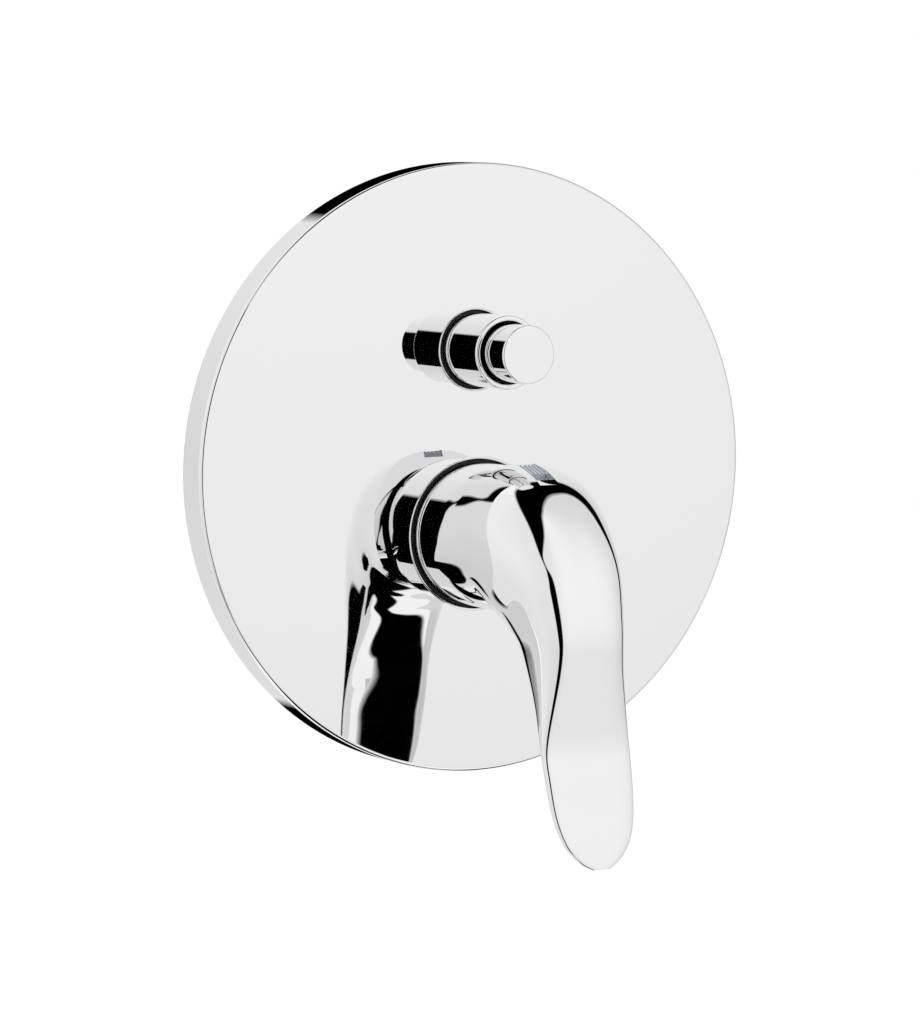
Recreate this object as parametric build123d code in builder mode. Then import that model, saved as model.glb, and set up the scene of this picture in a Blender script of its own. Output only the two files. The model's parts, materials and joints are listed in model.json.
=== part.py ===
"""Concealed shower mixer: round cover plate, lever with its ceramic cartridge, pull-out diverter.

Frame: the origin is the centre of the plate on the finished wall. +X is right, +Z is up, +Y goes into
the wall, so a place "out" from the wall is at -Y. All lengths are millimetres.
"""
from build123d import *
import math
import os

# Cover plate
PLATE_RADIUS = 90.0
PLATE_DEPTH = 12.5
PLATE_SHEET = 1.5
PLATE_EDGE_ROUND = 1.2
LIP_DEPTH = 4.0
LIP_ROUND = 1.1
PLATE_GAP = 0.75
GASKET_THICK = 1.0
GASKET_WIDTH = 9.0
GASKET_INSET = 0.4

# Axes and the face of the body
LEVER_AXIS_DROP = 19.4
DIVERTER_RISE = 35.1
BODY_FACE_OUT = 2.0
PIVOT_OUT = 26.0

# Sleeve round the cartridge, with its domed end
SLEEVE_RADIUS = 21.25
SLEEVE_WALL = 2.2
DOME_MOUTH_RADIUS = 13.5
RING_WIDTH = 1.7
RING_GROOVE = 0.85
RING_BACK_FROM_FACE = 3.3
RING_SLACK = 0.05

# Fits
THREAD_SLACK = 0.15
POCKET_SLACK = 0.2
RUNNING_SLACK = 0.06
MOVING_GAP = 0.3

# Cartridge, stacked outwards from the floor of its pocket
POCKET_FLOOR_DEPTH = 6.0
NECK_WALL = 1.4
HOUSING_WALL = 1.4
BASE_THICK = 8.0
BASE_FLANGE = 4.0
FIXED_DISC_THICK = 4.0
DISC_GAP = 0.05
MOVING_DISC_THICK = 3.45
CARRIER_THICK = 5.8
CARRIER_GAP = 0.4
FLANGE_THICK = 2.5
HOUSING_TOP = 2.0
HOUSING_NECK_LENGTH = 10.5
TURRET_STEP = 3.3
TURRET_PROUD = 2.0
DISC_STEP = 3.9
DISC_OFFSET = 2.5
DISC_POCKET_DEPTH = 1.8
PORT_RADIUS = 3.0
PORT_SPREAD = 7.5
PORT_SEAL_RADIUS = 4.8
PORT_SEAL_THICK = 1.5
NUT_GRIP = 5.0
NUT_HEAD = 3.8
NUT_FLAT_DEPTH = 1.85
NUT_HEAD_GAP = 0.2

# Stem with its pin
STEM_WIDTH = 8.0
STEM_TIP_REACH = 8.4
STEM_BACK = 6.0
STEM_NECK_RADIUS = 2.3
BALL_RADIUS = 3.0
BALL_SEAT = 1.3
SOCKET_SLACK = 0.25
PIN_RADIUS = 2.0
PIN_INSET = 0.6
STEM_SLOT_REACH = 8.4

# Lever
LEVER_GAP = 1.35
LEVER_WALL = 2.0
SOCKET_DEPTH = 1.5
RIM_TOP_OUT = 17.7
RIM_TOP_RISE = 30.0
EAR_OUT = 4.2
EAR_DROP = 5.8
EAR_ROUND = 5.0
RIM_UNDER_OUT = 13.5
RIM_UNDER_DROP = 17.6
NOTCH_WIDTH = 6.2
NOTCH_REACH = 8.0
NOTCH_LIFT = 1.0
NOTCH_SLOPE = 11.0
PLUG_SETBACK = 7.4
PLUG_LENGTH = 7.4
PLUG_HEIGHT = 1.9
PLUG_SLOPE = 18.0
PLUG_GROOVES = 4
PLUG_GROOVE = 0.6
PLUG_PITCH = 1.25
SCREW_RADIUS = 2.0
SCREW_LENGTH = 8.0
SCREW_SETBACK = 5.0
SCREW_TILT = 30.0
SCREW_KEY_FLATS = 2.0
SCREW_KEY_DEPTH = 2.0

# Diverter
COLLAR_RADIUS = 10.8
COLLAR_WALL = 1.6
COLLAR_OUT = 32.3
COLLAR_LIP_ROUND = 0.7
KNOB_RADIUS = 8.5
KNOB_OUT = 44.3
KNOB_BACK_OUT = 18.0
KNOB_EDGE_ROUND = 0.6
ROD_RADIUS = 3.0
ROD_GRIP = 16.0
BONNET_FLANGE_RADIUS = 12.6
BONNET_FLANGE = 3.0
BONNET_NECK = 10.0
BONNET_PLUG_RADIUS = 10.4
BONNET_PLUG = 6.0
CHAMBER_RADIUS = 8.0
CHAMBER_END_DEPTH = 46.0
DIVERTER_TRAVEL = 10.0
PISTON_RADIUS = 7.6
PISTON_WIDTH = 2.0
SPOOL_CORE_RADIUS = 4.4
SEAL_WIDTH = 1.2
SEAL_DEPTH = 1.2
SEAL_SLACK = 0.08
SPRING_WIRE = 1.0
SPRING_TURNS = 4.5
SPRING_RADIUS = 5.6

# Mixer body
PORT_BORE_RADIUS = 9.316
PORT_BORE_DEPTH = 15.0
PORT_FLATS = 27.0
PORT_BOSS_LENGTH = 18.0
WATERWAY_RADIUS = 6.0
OUTLET_WAY_RADIUS = 4.0
INLET_DEPTH = 20.0
INLET_REACH = 46.0
INLET_TUBE_RADIUS = 11.0
BARREL_RADIUS = 24.0
BARREL_DEPTH = 32.0
DIVERTER_BARREL_RADIUS = 15.0
DIVERTER_WALL = 4.0
UPPER_WAY_DEPTH = 16.0
MIXED_WAY_DEPTH = 26.0
LOWER_WAY_DEPTH = 36.0
UPPER_OUTLET_RISE = 74.0
LOWER_OUTLET_DROP = 68.0
LOWER_TUBE_RADIUS = 10.0
BRIDGE_WIDTH = 24.0
CASTING_ROUND = 2.5
PORT_CHAMFER = 1.2

# Worked out from the sizes above
AXIS_Z = -LEVER_AXIS_DROP
SLEEVE_BORE = SLEEVE_RADIUS - SLEEVE_WALL
LEVER_HOLE_RADIUS = SLEEVE_RADIUS + PLATE_GAP
COLLAR_HOLE_RADIUS = COLLAR_RADIUS + PLATE_GAP
NECK_RADIUS = SLEEVE_BORE - THREAD_SLACK
POCKET_RADIUS = NECK_RADIUS - NECK_WALL
HOUSING_RADIUS = POCKET_RADIUS - POCKET_SLACK
HOUSING_BORE = HOUSING_RADIUS - HOUSING_WALL
TURRET_RADIUS = HOUSING_BORE - TURRET_STEP
TURRET_BORE = TURRET_RADIUS + MOVING_GAP
HOUSING_NECK_RADIUS = TURRET_BORE + HOUSING_WALL
FLANGE_RADIUS = HOUSING_BORE - 2 * MOVING_GAP
DISC_RADIUS = HOUSING_BORE - DISC_STEP

BASE_OUT = -POCKET_FLOOR_DEPTH
FIXED_DISC_OUT = BASE_OUT + BASE_THICK
MOVING_DISC_OUT = FIXED_DISC_OUT + FIXED_DISC_THICK + DISC_GAP
CARRIER_OUT = MOVING_DISC_OUT + MOVING_DISC_THICK
CARRIER_TOP_OUT = CARRIER_OUT + CARRIER_THICK
FLANGE_OUT = CARRIER_TOP_OUT + CARRIER_GAP
FLANGE_TOP_OUT = FLANGE_OUT + FLANGE_THICK
HOUSING_TOP_OUT = FLANGE_TOP_OUT + MOVING_GAP
SHOULDER_OUT = HOUSING_TOP_OUT + HOUSING_TOP
HOUSING_END_OUT = SHOULDER_OUT + HOUSING_NECK_LENGTH
TURRET_TOP_OUT = HOUSING_END_OUT + TURRET_PROUD
NECK_END_OUT = SHOULDER_OUT + NUT_GRIP
NUT_HEAD_OUT = NECK_END_OUT + NUT_HEAD_GAP
NUT_END_OUT = NUT_HEAD_OUT + NUT_HEAD
BALL_OUT = CARRIER_TOP_OUT - BALL_SEAT

CAVITY_RADIUS = SLEEVE_RADIUS + LEVER_GAP
CUP_HALF_WIDTH = CAVITY_RADIUS + LEVER_WALL
STEM_TIP_OUT = PIVOT_OUT + CAVITY_RADIUS + STEM_TIP_REACH
NOTCH_END = CAVITY_RADIUS + NOTCH_REACH
NOTCH_FLOOR_RISE = CAVITY_RADIUS + NOTCH_LIFT
PLUG_START = CAVITY_RADIUS - PLUG_SETBACK
SCREW_OUT = CAVITY_RADIUS - SCREW_SETBACK

COLLAR_BORE = COLLAR_RADIUS - COLLAR_WALL
COLLAR_BACK_OUT = BODY_FACE_OUT + BONNET_FLANGE
BONNET_NECK_RADIUS = COLLAR_BORE - POCKET_SLACK
BONNET_END_OUT = COLLAR_BACK_OUT + BONNET_NECK
BONNET_BACK_OUT = BODY_FACE_OUT - BONNET_PLUG
FRONT_PISTON_OUT = -(UPPER_WAY_DEPTH + MIXED_WAY_DEPTH) / 2
REAR_PISTON_OUT = FRONT_PISTON_OUT - 2 * DIVERTER_TRAVEL
SPRING_BACK_OUT = FRONT_PISTON_OUT + PISTON_WIDTH / 2


def axis_plane(height):
    """Half plane for a turned profile: local x is out from the wall, local y is up."""
    return Plane(origin=(0, 0, height), x_dir=(0, -1, 0), z_dir=(-1, 0, 0))


def spin_axis(height):
    return Axis((0, 0, height), (0, -1, 0))


def facing_out(out, height, across=0.0):
    """Plane parallel to the wall whose normal points away from the wall."""
    return Plane(origin=(across, -out, height), x_dir=(1, 0, 0), z_dir=(0, -1, 0))


def turned(height, points):
    """Profile of (out, radius) points for a revolve about the axis at this height."""
    with BuildSketch(axis_plane(height)) as profile:
        with BuildLine():
            Polyline(*points, close=True)
        make_face()
    return profile.sketch


def ring(height, out, thick, inner, outer):
    """Profile of a plain ring that starts at this distance out."""
    return turned(height, [(out, inner), (out + thick, inner), (out + thick, outer), (out, outer)])


def disc(height, out, radius):
    """Round face parallel to the wall, to be extruded away from it."""
    with BuildSketch(facing_out(out, height)) as face:
        Circle(radius)
    return face.sketch


def circles_at(part, out, radius):
    """Round edges of this radius on the plane at this distance out."""
    edges = part.edges().filter_by(GeomType.CIRCLE)
    return edges.filter_by(lambda e: abs(e.radius - radius) < 1e-3 and abs(e.center().Y + out) < 1e-3)


# Cover plate: a pressed cup with two holes whose lips turn inwards
with BuildPart() as cover_plate:
    rim_bore = PLATE_RADIUS - PLATE_SHEET
    sheet_back = PLATE_DEPTH - PLATE_SHEET
    plate_section = [
        (GASKET_THICK, rim_bore),
        (sheet_back, rim_bore),
        (sheet_back, 0),
        (PLATE_DEPTH, 0),
        (PLATE_DEPTH, PLATE_RADIUS),
        (GASKET_THICK, PLATE_RADIUS),
    ]
    revolve(turned(0, plate_section), axis=spin_axis(0))
    for hole_height, hole_radius in ((AXIS_Z, LEVER_HOLE_RADIUS), (DIVERTER_RISE, COLLAR_HOLE_RADIUS)):
        extrude(disc(hole_height, PLATE_DEPTH, hole_radius + PLATE_SHEET), amount=-LIP_DEPTH)
        extrude(disc(hole_height, PLATE_DEPTH, hole_radius), amount=-PLATE_DEPTH, mode=Mode.SUBTRACT)
    lips = circles_at(cover_plate, PLATE_DEPTH, LEVER_HOLE_RADIUS)
    lips += circles_at(cover_plate, PLATE_DEPTH, COLLAR_HOLE_RADIUS)
    fillet(lips, radius=LIP_ROUND)
    fillet(circles_at(cover_plate, PLATE_DEPTH, PLATE_RADIUS), radius=PLATE_EDGE_ROUND)

# Gasket between the rim of the plate and the wall
with BuildPart() as plate_gasket:
    gasket_outer = PLATE_RADIUS - GASKET_INSET
    revolve(ring(0, 0, GASKET_THICK, gasket_outer - GASKET_WIDTH, gasket_outer), axis=spin_axis(0))

# Sleeve: a tube that ends in a dome about the lever's pivot
with BuildPart() as lever_sleeve:
    with BuildSketch(axis_plane(AXIS_Z)) as sleeve_section:
        dome_top = math.sqrt(SLEEVE_RADIUS**2 - DOME_MOUTH_RADIUS**2)
        dome_inner = math.sqrt(SLEEVE_BORE**2 - DOME_MOUTH_RADIUS**2)
        with BuildLine():
            Polyline((PIVOT_OUT, SLEEVE_BORE), (BODY_FACE_OUT, SLEEVE_BORE), (BODY_FACE_OUT, SLEEVE_RADIUS),
                     (PIVOT_OUT, SLEEVE_RADIUS))
            RadiusArc((PIVOT_OUT, SLEEVE_RADIUS), (PIVOT_OUT + dome_top, DOME_MOUTH_RADIUS), SLEEVE_RADIUS)
            Line((PIVOT_OUT + dome_top, DOME_MOUTH_RADIUS), (PIVOT_OUT + dome_inner, DOME_MOUTH_RADIUS))
            RadiusArc((PIVOT_OUT + dome_inner, DOME_MOUTH_RADIUS), (PIVOT_OUT, SLEEVE_BORE), -SLEEVE_BORE)
        make_face()
    revolve(axis=spin_axis(AXIS_Z))
    ring_out = PLATE_DEPTH - RING_BACK_FROM_FACE
    groove = ring(AXIS_Z, ring_out, RING_WIDTH, SLEEVE_RADIUS - RING_GROOVE, SLEEVE_RADIUS + PLATE_GAP)
    revolve(groove, axis=spin_axis(AXIS_Z), mode=Mode.SUBTRACT)

# Rubber ring that centres the plate on the sleeve
with BuildPart() as sleeve_o_ring:
    revolve(ring(AXIS_Z, ring_out + RING_SLACK, RING_WIDTH - 2 * RING_SLACK,
                 SLEEVE_RADIUS - RING_GROOVE, LEVER_HOLE_RADIUS - RING_SLACK), axis=spin_axis(AXIS_Z))
    fillet(sleeve_o_ring.edges().filter_by(GeomType.CIRCLE), radius=RING_WIDTH / 4)

# Collar of the diverter
with BuildPart() as diverter_collar:
    revolve(ring(DIVERTER_RISE, COLLAR_BACK_OUT, COLLAR_OUT - COLLAR_BACK_OUT, COLLAR_BORE, COLLAR_RADIUS),
            axis=spin_axis(DIVERTER_RISE))
    groove = ring(DIVERTER_RISE, ring_out, RING_WIDTH, COLLAR_RADIUS - RING_GROOVE, COLLAR_RADIUS + PLATE_GAP)
    revolve(groove, axis=spin_axis(DIVERTER_RISE), mode=Mode.SUBTRACT)
    fillet(circles_at(diverter_collar, COLLAR_OUT, COLLAR_RADIUS), radius=COLLAR_LIP_ROUND)
    fillet(circles_at(diverter_collar, COLLAR_OUT, COLLAR_BORE), radius=COLLAR_LIP_ROUND)

# Rubber ring that centres the plate on the collar
with BuildPart() as collar_o_ring:
    revolve(ring(DIVERTER_RISE, ring_out + RING_SLACK, RING_WIDTH - 2 * RING_SLACK,
                 COLLAR_RADIUS - RING_GROOVE, COLLAR_HOLE_RADIUS - RING_SLACK), axis=spin_axis(DIVERTER_RISE))
    fillet(collar_o_ring.edges().filter_by(GeomType.CIRCLE), radius=RING_WIDTH / 4)

# Cartridge housing: a cup turned mouth to the wall, with a narrower neck for the turret
with BuildPart() as cartridge_housing:
    housing_back = BASE_OUT + BASE_FLANGE
    housing_section = [
        (housing_back, HOUSING_BORE),
        (housing_back, HOUSING_RADIUS),
        (SHOULDER_OUT, HOUSING_RADIUS),
        (SHOULDER_OUT, HOUSING_NECK_RADIUS),
        (HOUSING_END_OUT, HOUSING_NECK_RADIUS),
        (HOUSING_END_OUT, TURRET_BORE),
        (HOUSING_TOP_OUT, TURRET_BORE),
        (HOUSING_TOP_OUT, HOUSING_BORE),
    ]
    revolve(turned(AXIS_Z, housing_section), axis=spin_axis(AXIS_Z))

PORTS = [(-PORT_SPREAD, AXIS_Z), (PORT_SPREAD, AXIS_Z), (0.0, AXIS_Z + PORT_SPREAD)]

# Cartridge base with the three water ports
with BuildPart() as cartridge_base:
    base_section = [
        (BASE_OUT, 0),
        (BASE_OUT, HOUSING_RADIUS),
        (BASE_OUT + BASE_FLANGE, HOUSING_RADIUS),
        (BASE_OUT + BASE_FLANGE, HOUSING_BORE - RING_SLACK),
        (FIXED_DISC_OUT, HOUSING_BORE - RING_SLACK),
        (FIXED_DISC_OUT, 0),
    ]
    revolve(turned(AXIS_Z, base_section), axis=spin_axis(AXIS_Z))
    for across, height in PORTS:
        with BuildSketch(facing_out(BASE_OUT, height, across)):
            Circle(PORT_RADIUS)
        extrude(amount=BASE_THICK, mode=Mode.SUBTRACT)
        with BuildSketch(facing_out(BASE_OUT, height, across)):
            Circle(PORT_SEAL_RADIUS + RING_SLACK)
        extrude(amount=PORT_SEAL_THICK, mode=Mode.SUBTRACT)

# Rubber seals round the ports, under the base
with BuildPart() as base_port_seals:
    for across, height in PORTS:
        with BuildSketch(facing_out(BASE_OUT, height, across)):
            Circle(PORT_SEAL_RADIUS)
            Circle(PORT_RADIUS, mode=Mode.SUBTRACT)
        extrude(amount=PORT_SEAL_THICK)

# Ceramic disc that stays still
with BuildPart() as fixed_disc:
    extrude(disc(AXIS_Z, FIXED_DISC_OUT, HOUSING_BORE - MOVING_GAP), amount=FIXED_DISC_THICK)
    for across, height in PORTS:
        with BuildSketch(facing_out(FIXED_DISC_OUT, height, across)):
            Circle(PORT_RADIUS)
        extrude(amount=FIXED_DISC_THICK, mode=Mode.SUBTRACT)

# Ceramic disc that slides and turns, with the mixing pocket in its underside
with BuildPart() as moving_disc:
    extrude(disc(AXIS_Z + DISC_OFFSET, MOVING_DISC_OUT, DISC_RADIUS), amount=MOVING_DISC_THICK)
    with BuildSketch(facing_out(MOVING_DISC_OUT, AXIS_Z + DISC_OFFSET)):
        Ellipse(DISC_RADIUS - 2 * HOUSING_WALL, PORT_SPREAD - HOUSING_WALL)
    extrude(amount=DISC_POCKET_DEPTH, mode=Mode.SUBTRACT)

# Carrier that takes the ball of the stem and drives the moving disc
with BuildPart() as disc_carrier:
    extrude(disc(AXIS_Z + DISC_OFFSET, CARRIER_OUT, DISC_RADIUS), amount=CARRIER_THICK)
    socket_floor = BALL_OUT - BALL_RADIUS - MOVING_GAP
    extrude(disc(AXIS_Z, socket_floor, BALL_RADIUS + SOCKET_SLACK), amount=CARRIER_THICK, mode=Mode.SUBTRACT)

# Plane across the stem's pin
PIN_PLANE = Plane(origin=(0, -PIVOT_OUT, AXIS_Z), x_dir=(0, 0, 1), z_dir=(1, 0, 0))

# Turret that turns in the neck of the housing and holds the stem's pin
with BuildPart() as cartridge_turret:
    turret_section = [
        (FLANGE_OUT, 0),
        (FLANGE_OUT, FLANGE_RADIUS),
        (FLANGE_TOP_OUT, FLANGE_RADIUS),
        (FLANGE_TOP_OUT, TURRET_RADIUS),
        (TURRET_TOP_OUT, TURRET_RADIUS),
        (TURRET_TOP_OUT, 0),
    ]
    revolve(turned(AXIS_Z, turret_section), axis=spin_axis(AXIS_Z))
    slot_width = STEM_WIDTH + 2 * MOVING_GAP
    slot_rest = STEM_WIDTH / 2 + MOVING_GAP
    overlap = 1.0
    # Above the pin the stem swings up, below it the stem swings down
    with BuildSketch(axis_plane(AXIS_Z)):
        with BuildLine():
            Polyline((PIVOT_OUT - overlap, -slot_rest), (TURRET_TOP_OUT, -slot_rest),
                     (TURRET_TOP_OUT, STEM_SLOT_REACH), (PIVOT_OUT - overlap, STEM_SLOT_REACH), close=True)
        make_face()
        with BuildLine():
            Polyline((FLANGE_OUT, -STEM_SLOT_REACH), (PIVOT_OUT + overlap, -STEM_SLOT_REACH),
                     (PIVOT_OUT + overlap, slot_rest), (FLANGE_OUT, slot_rest), close=True)
        make_face()
    extrude(amount=slot_width / 2, both=True, mode=Mode.SUBTRACT)
    with BuildSketch(PIN_PLANE):
        Circle(PIN_RADIUS)
    extrude(amount=TURRET_RADIUS, both=True, mode=Mode.SUBTRACT)

# Pin on which the stem tilts
with BuildPart() as stem_pivot_pin:
    with BuildSketch(PIN_PLANE):
        Circle(PIN_RADIUS)
    extrude(amount=TURRET_RADIUS - PIN_INSET, both=True)

# Stem: square bar with a ball at its inner end
with BuildPart() as cartridge_stem:
    stem_back_out = PIVOT_OUT - STEM_BACK
    with BuildSketch(facing_out(stem_back_out, AXIS_Z)):
        Rectangle(STEM_WIDTH, STEM_WIDTH)
    extrude(amount=STEM_TIP_OUT - stem_back_out)
    extrude(disc(AXIS_Z, BALL_OUT, STEM_NECK_RADIUS), amount=stem_back_out - BALL_OUT)
    with Locations((0, -BALL_OUT, AXIS_Z)):
        Sphere(BALL_RADIUS)
    with BuildSketch(PIN_PLANE):
        Circle(PIN_RADIUS + RUNNING_SLACK)
    extrude(amount=STEM_WIDTH, both=True, mode=Mode.SUBTRACT)

# Nut that holds the cartridge down in the neck of the body
with BuildPart() as cartridge_nut:
    nut_bore = HOUSING_NECK_RADIUS + MOVING_GAP
    nut_radius = POCKET_RADIUS - THREAD_SLACK
    nut_length = NUT_END_OUT - SHOULDER_OUT
    revolve(ring(AXIS_Z, SHOULDER_OUT, nut_length, nut_bore, nut_radius), axis=spin_axis(AXIS_Z))
    with BuildSketch(facing_out(NUT_HEAD_OUT, AXIS_Z)):
        Circle(POCKET_RADIUS)
        flat_distance = nut_radius - NUT_FLAT_DEPTH
        RegularPolygon(flat_distance, 6, major_radius=False, mode=Mode.SUBTRACT)
    extrude(amount=NUT_HEAD, mode=Mode.SUBTRACT)

# Lever. A station is one cross-section of the sculpted form, on a plane that contains the X direction.
# Its origin lies out from and below the pivot, its angle turns from up (90) to out (0), and along that
# direction the section reaches from back to front, with its widest place between. The two insets are
# how much narrower than the cup it is at its widest and at its front; squareness 2 is round.
HUB_OUT = 14.0
HUB_DROP = 30.6
# Round the cup all sections share one origin, and front and back are given beyond the cup's half width
CUP_STATIONS = [
    # out, angle, front, widest, back, inset, front inset, front squareness, back squareness
    (-2.0, 90, 29.0, 30.2, 37.6, -1.9, -1.3, 2.0, 2.3),
    (6.0, 90, 29.3, 30.0, 37.6, 0.1, 0.8, 2.05, 2.3),
    (HUB_OUT, 90, 28.9, 29.6, 37.6, 2.1, 3.2, 2.4, 2.3),
    (HUB_OUT, 72, 26.4, 28.6, 36.3, 3.9, 5.2, 2.75, 2.4),
    (HUB_OUT, 54, 22.9, 26.4, 35.8, 5.8, 7.9, 3.1, 2.5),
    (HUB_OUT, 36, 19.4, 24.6, 36.7, 8.4, 9.1, 3.7, 2.6),
    (HUB_OUT, 18, 16.4, 24.0, 38.8, 10.3, 10.5, 4.0, 2.7),
    (HUB_OUT, 0, 14.8, 25.4, 42.6, 11.4, 11.3, 4.4, 2.8),
]
# Down the arm and the paddle the sections lie level, and front and back are distances out from the hub
ARM_STATIONS = [
    # drop, front, widest, back, inset, front squareness, back squareness
    (42.6, 38.0, 30.3, 26.8, 11.2, 5.0, 3.0),
    (54.6, 37.0, 34.0, 32.2, 10.6, 5.2, 3.0),
    (62.6, 38.3, 36.1, 34.4, 10.7, 5.0, 3.0),
    (70.6, 40.0, 38.0, 36.5, 11.2, 5.0, 3.0),
    (76.6, 41.4, 39.6, 38.1, 12.1, 4.6, 3.0),
    (81.6, 42.6, 41.0, 39.7, 13.7, 4.2, 3.0),
    (85.2, 43.4, 42.0, 40.9, 16.0, 3.6, 2.8),
    (87.8, 44.0, 42.9, 42.0, 18.8, 3.0, 2.6),
    (89.4, 44.3, 43.7, 43.1, 21.8, 2.4, 2.4),
]
SECTION_POINTS = 24
FRONT_TAPER = 1.8


def signed_power(value, exponent):
    return math.copysign(abs(value) ** exponent, value)


def lever_section(out, drop, angle, front, widest, back, inset, front_inset, front_square, back_square):
    """One closed smooth section: a superellipse in two halves that meet at the widest place."""
    turn = math.radians(angle)
    plane = Plane(
        origin=(0, -PIVOT_OUT - out, AXIS_Z - drop),
        x_dir=(1, 0, 0),
        z_dir=(0, -math.sin(turn), -math.cos(turn)),
    )
    points = []
    for step in range(SECTION_POINTS):
        around = 2 * math.pi * step / SECTION_POINTS
        is_front = math.sin(around) >= 0
        exponent = 2 / (front_square if is_front else back_square)
        across = signed_power(math.cos(around), exponent)
        along = signed_power(math.sin(around), exponent)
        half_width = CUP_HALF_WIDTH - inset
        if is_front:
            half_width -= (front_inset - inset) * along**FRONT_TAPER
        reach = front - widest if is_front else widest - back
        points.append((half_width * across, widest + reach * along))
    with BuildSketch(plane) as section:
        with BuildLine():
            Spline(*points, periodic=True)
        make_face()
    return section.sketch


NOTCH_TURN = math.radians(NOTCH_SLOPE)
NOTCH_FLOOR_END = NOTCH_FLOOR_RISE - NOTCH_END * math.tan(NOTCH_TURN)
SCREW_TURN = math.radians(SCREW_TILT)
SCREW_MOUTH_RISE = NOTCH_FLOOR_RISE - SCREW_OUT * math.tan(NOTCH_TURN)
SCREW_REACH = (SCREW_MOUTH_RISE - STEM_WIDTH / 2) / math.cos(SCREW_TURN)


def screw_plane(along):
    """Plane across the set screw's axis, this far from the screw hole's mouth towards the stem."""
    out = PIVOT_OUT + SCREW_OUT + along * math.sin(SCREW_TURN)
    rise = SCREW_MOUTH_RISE - along * math.cos(SCREW_TURN)
    return Plane(
        origin=(0, -out, AXIS_Z + rise),
        x_dir=(1, 0, 0),
        z_dir=(0, -math.sin(SCREW_TURN), -math.cos(SCREW_TURN)),
    )


with BuildPart() as lever_handle:
    sections = []
    for out, angle, front, widest, back, *shape in CUP_STATIONS:
        reaches = (CUP_HALF_WIDTH + front, widest, back - CUP_HALF_WIDTH)
        sections.append(lever_section(out, HUB_DROP, angle, *reaches, *shape))
    for drop, front, widest, back, inset, *squareness in ARM_STATIONS:
        sections.append(lever_section(HUB_OUT, drop, 0, front, widest, back, inset, inset, *squareness))
    loft(sections)
    # The cup is cut back in a blunt V, so that it clears the plate when the lever is lifted
    with BuildSketch(axis_plane(AXIS_Z)):
        with BuildLine():
            FilletPolyline(
                (PIVOT_OUT + RIM_TOP_OUT, RIM_TOP_RISE),
                (PIVOT_OUT + EAR_OUT, -EAR_DROP),
                (PIVOT_OUT + RIM_UNDER_OUT, -RIM_UNDER_DROP),
                radius=EAR_ROUND,
            )
            Polyline(
                (PIVOT_OUT + RIM_UNDER_OUT, -RIM_UNDER_DROP),
                (PIVOT_OUT + RIM_UNDER_OUT, -HUB_DROP),
                (0, -HUB_DROP),
                (0, RIM_TOP_RISE),
                (PIVOT_OUT + RIM_TOP_OUT, RIM_TOP_RISE),
            )
        make_face()
    extrude(amount=2 * CUP_HALF_WIDTH, both=True, mode=Mode.SUBTRACT)
    with Locations((0, -PIVOT_OUT, AXIS_Z)):
        Sphere(CAVITY_RADIUS, mode=Mode.SUBTRACT)
    socket_width = STEM_WIDTH + 2 * RING_SLACK
    with BuildSketch(facing_out(PIVOT_OUT, AXIS_Z)):
        Rectangle(socket_width, socket_width)
    extrude(amount=STEM_TIP_OUT + SOCKET_DEPTH - PIVOT_OUT, mode=Mode.SUBTRACT)
    # Notch at the top for the index plug, running out in front, and below it the set screw's slanted hole
    with BuildSketch(axis_plane(AXIS_Z)):
        with BuildLine():
            Polyline(
                (PIVOT_OUT, NOTCH_FLOOR_RISE),
                (PIVOT_OUT + NOTCH_END, NOTCH_FLOOR_END),
                (PIVOT_OUT + NOTCH_END, RIM_TOP_RISE),
                (PIVOT_OUT, RIM_TOP_RISE),
                close=True,
            )
        make_face()
    extrude(amount=NOTCH_WIDTH / 2, both=True, mode=Mode.SUBTRACT)
    with BuildSketch(screw_plane(-SCREW_RADIUS)):
        Circle(SCREW_RADIUS + RING_SLACK)
    extrude(amount=SCREW_REACH + 3 * SCREW_RADIUS, mode=Mode.SUBTRACT)

# Grey plug in the lever's notch: a wedge that lies on the notch's floor, with fine ribs along its top
with BuildPart() as index_plug:
    plug_top = NOTCH_FLOOR_RISE - PLUG_START * math.tan(NOTCH_TURN) + PLUG_HEIGHT
    plug_turn = math.radians(PLUG_SLOPE)
    plug_plane = Plane(
        origin=(0, -PIVOT_OUT - PLUG_START, AXIS_Z + plug_top),
        x_dir=(1, 0, 0),
        z_dir=(0, -math.cos(plug_turn), -math.sin(plug_turn)),
    )
    with BuildSketch(plug_plane):
        Rectangle(NOTCH_WIDTH - 2 * RING_SLACK, 2 * PLUG_HEIGHT, align=(Align.CENTER, Align.MAX))
        with GridLocations(PLUG_PITCH, 0, PLUG_GROOVES, 1):
            Rectangle(PLUG_GROOVE, 2 * PLUG_GROOVE, mode=Mode.SUBTRACT)
    extrude(amount=PLUG_LENGTH)
    with BuildSketch(axis_plane(AXIS_Z)):
        with BuildLine():
            Polyline(
                (PIVOT_OUT, NOTCH_FLOOR_RISE),
                (PIVOT_OUT + NOTCH_END, NOTCH_FLOOR_END),
                (PIVOT_OUT + NOTCH_END, 0),
                (PIVOT_OUT, 0),
                close=True,
            )
        make_face()
    extrude(amount=NOTCH_WIDTH, both=True, mode=Mode.SUBTRACT)

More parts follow.
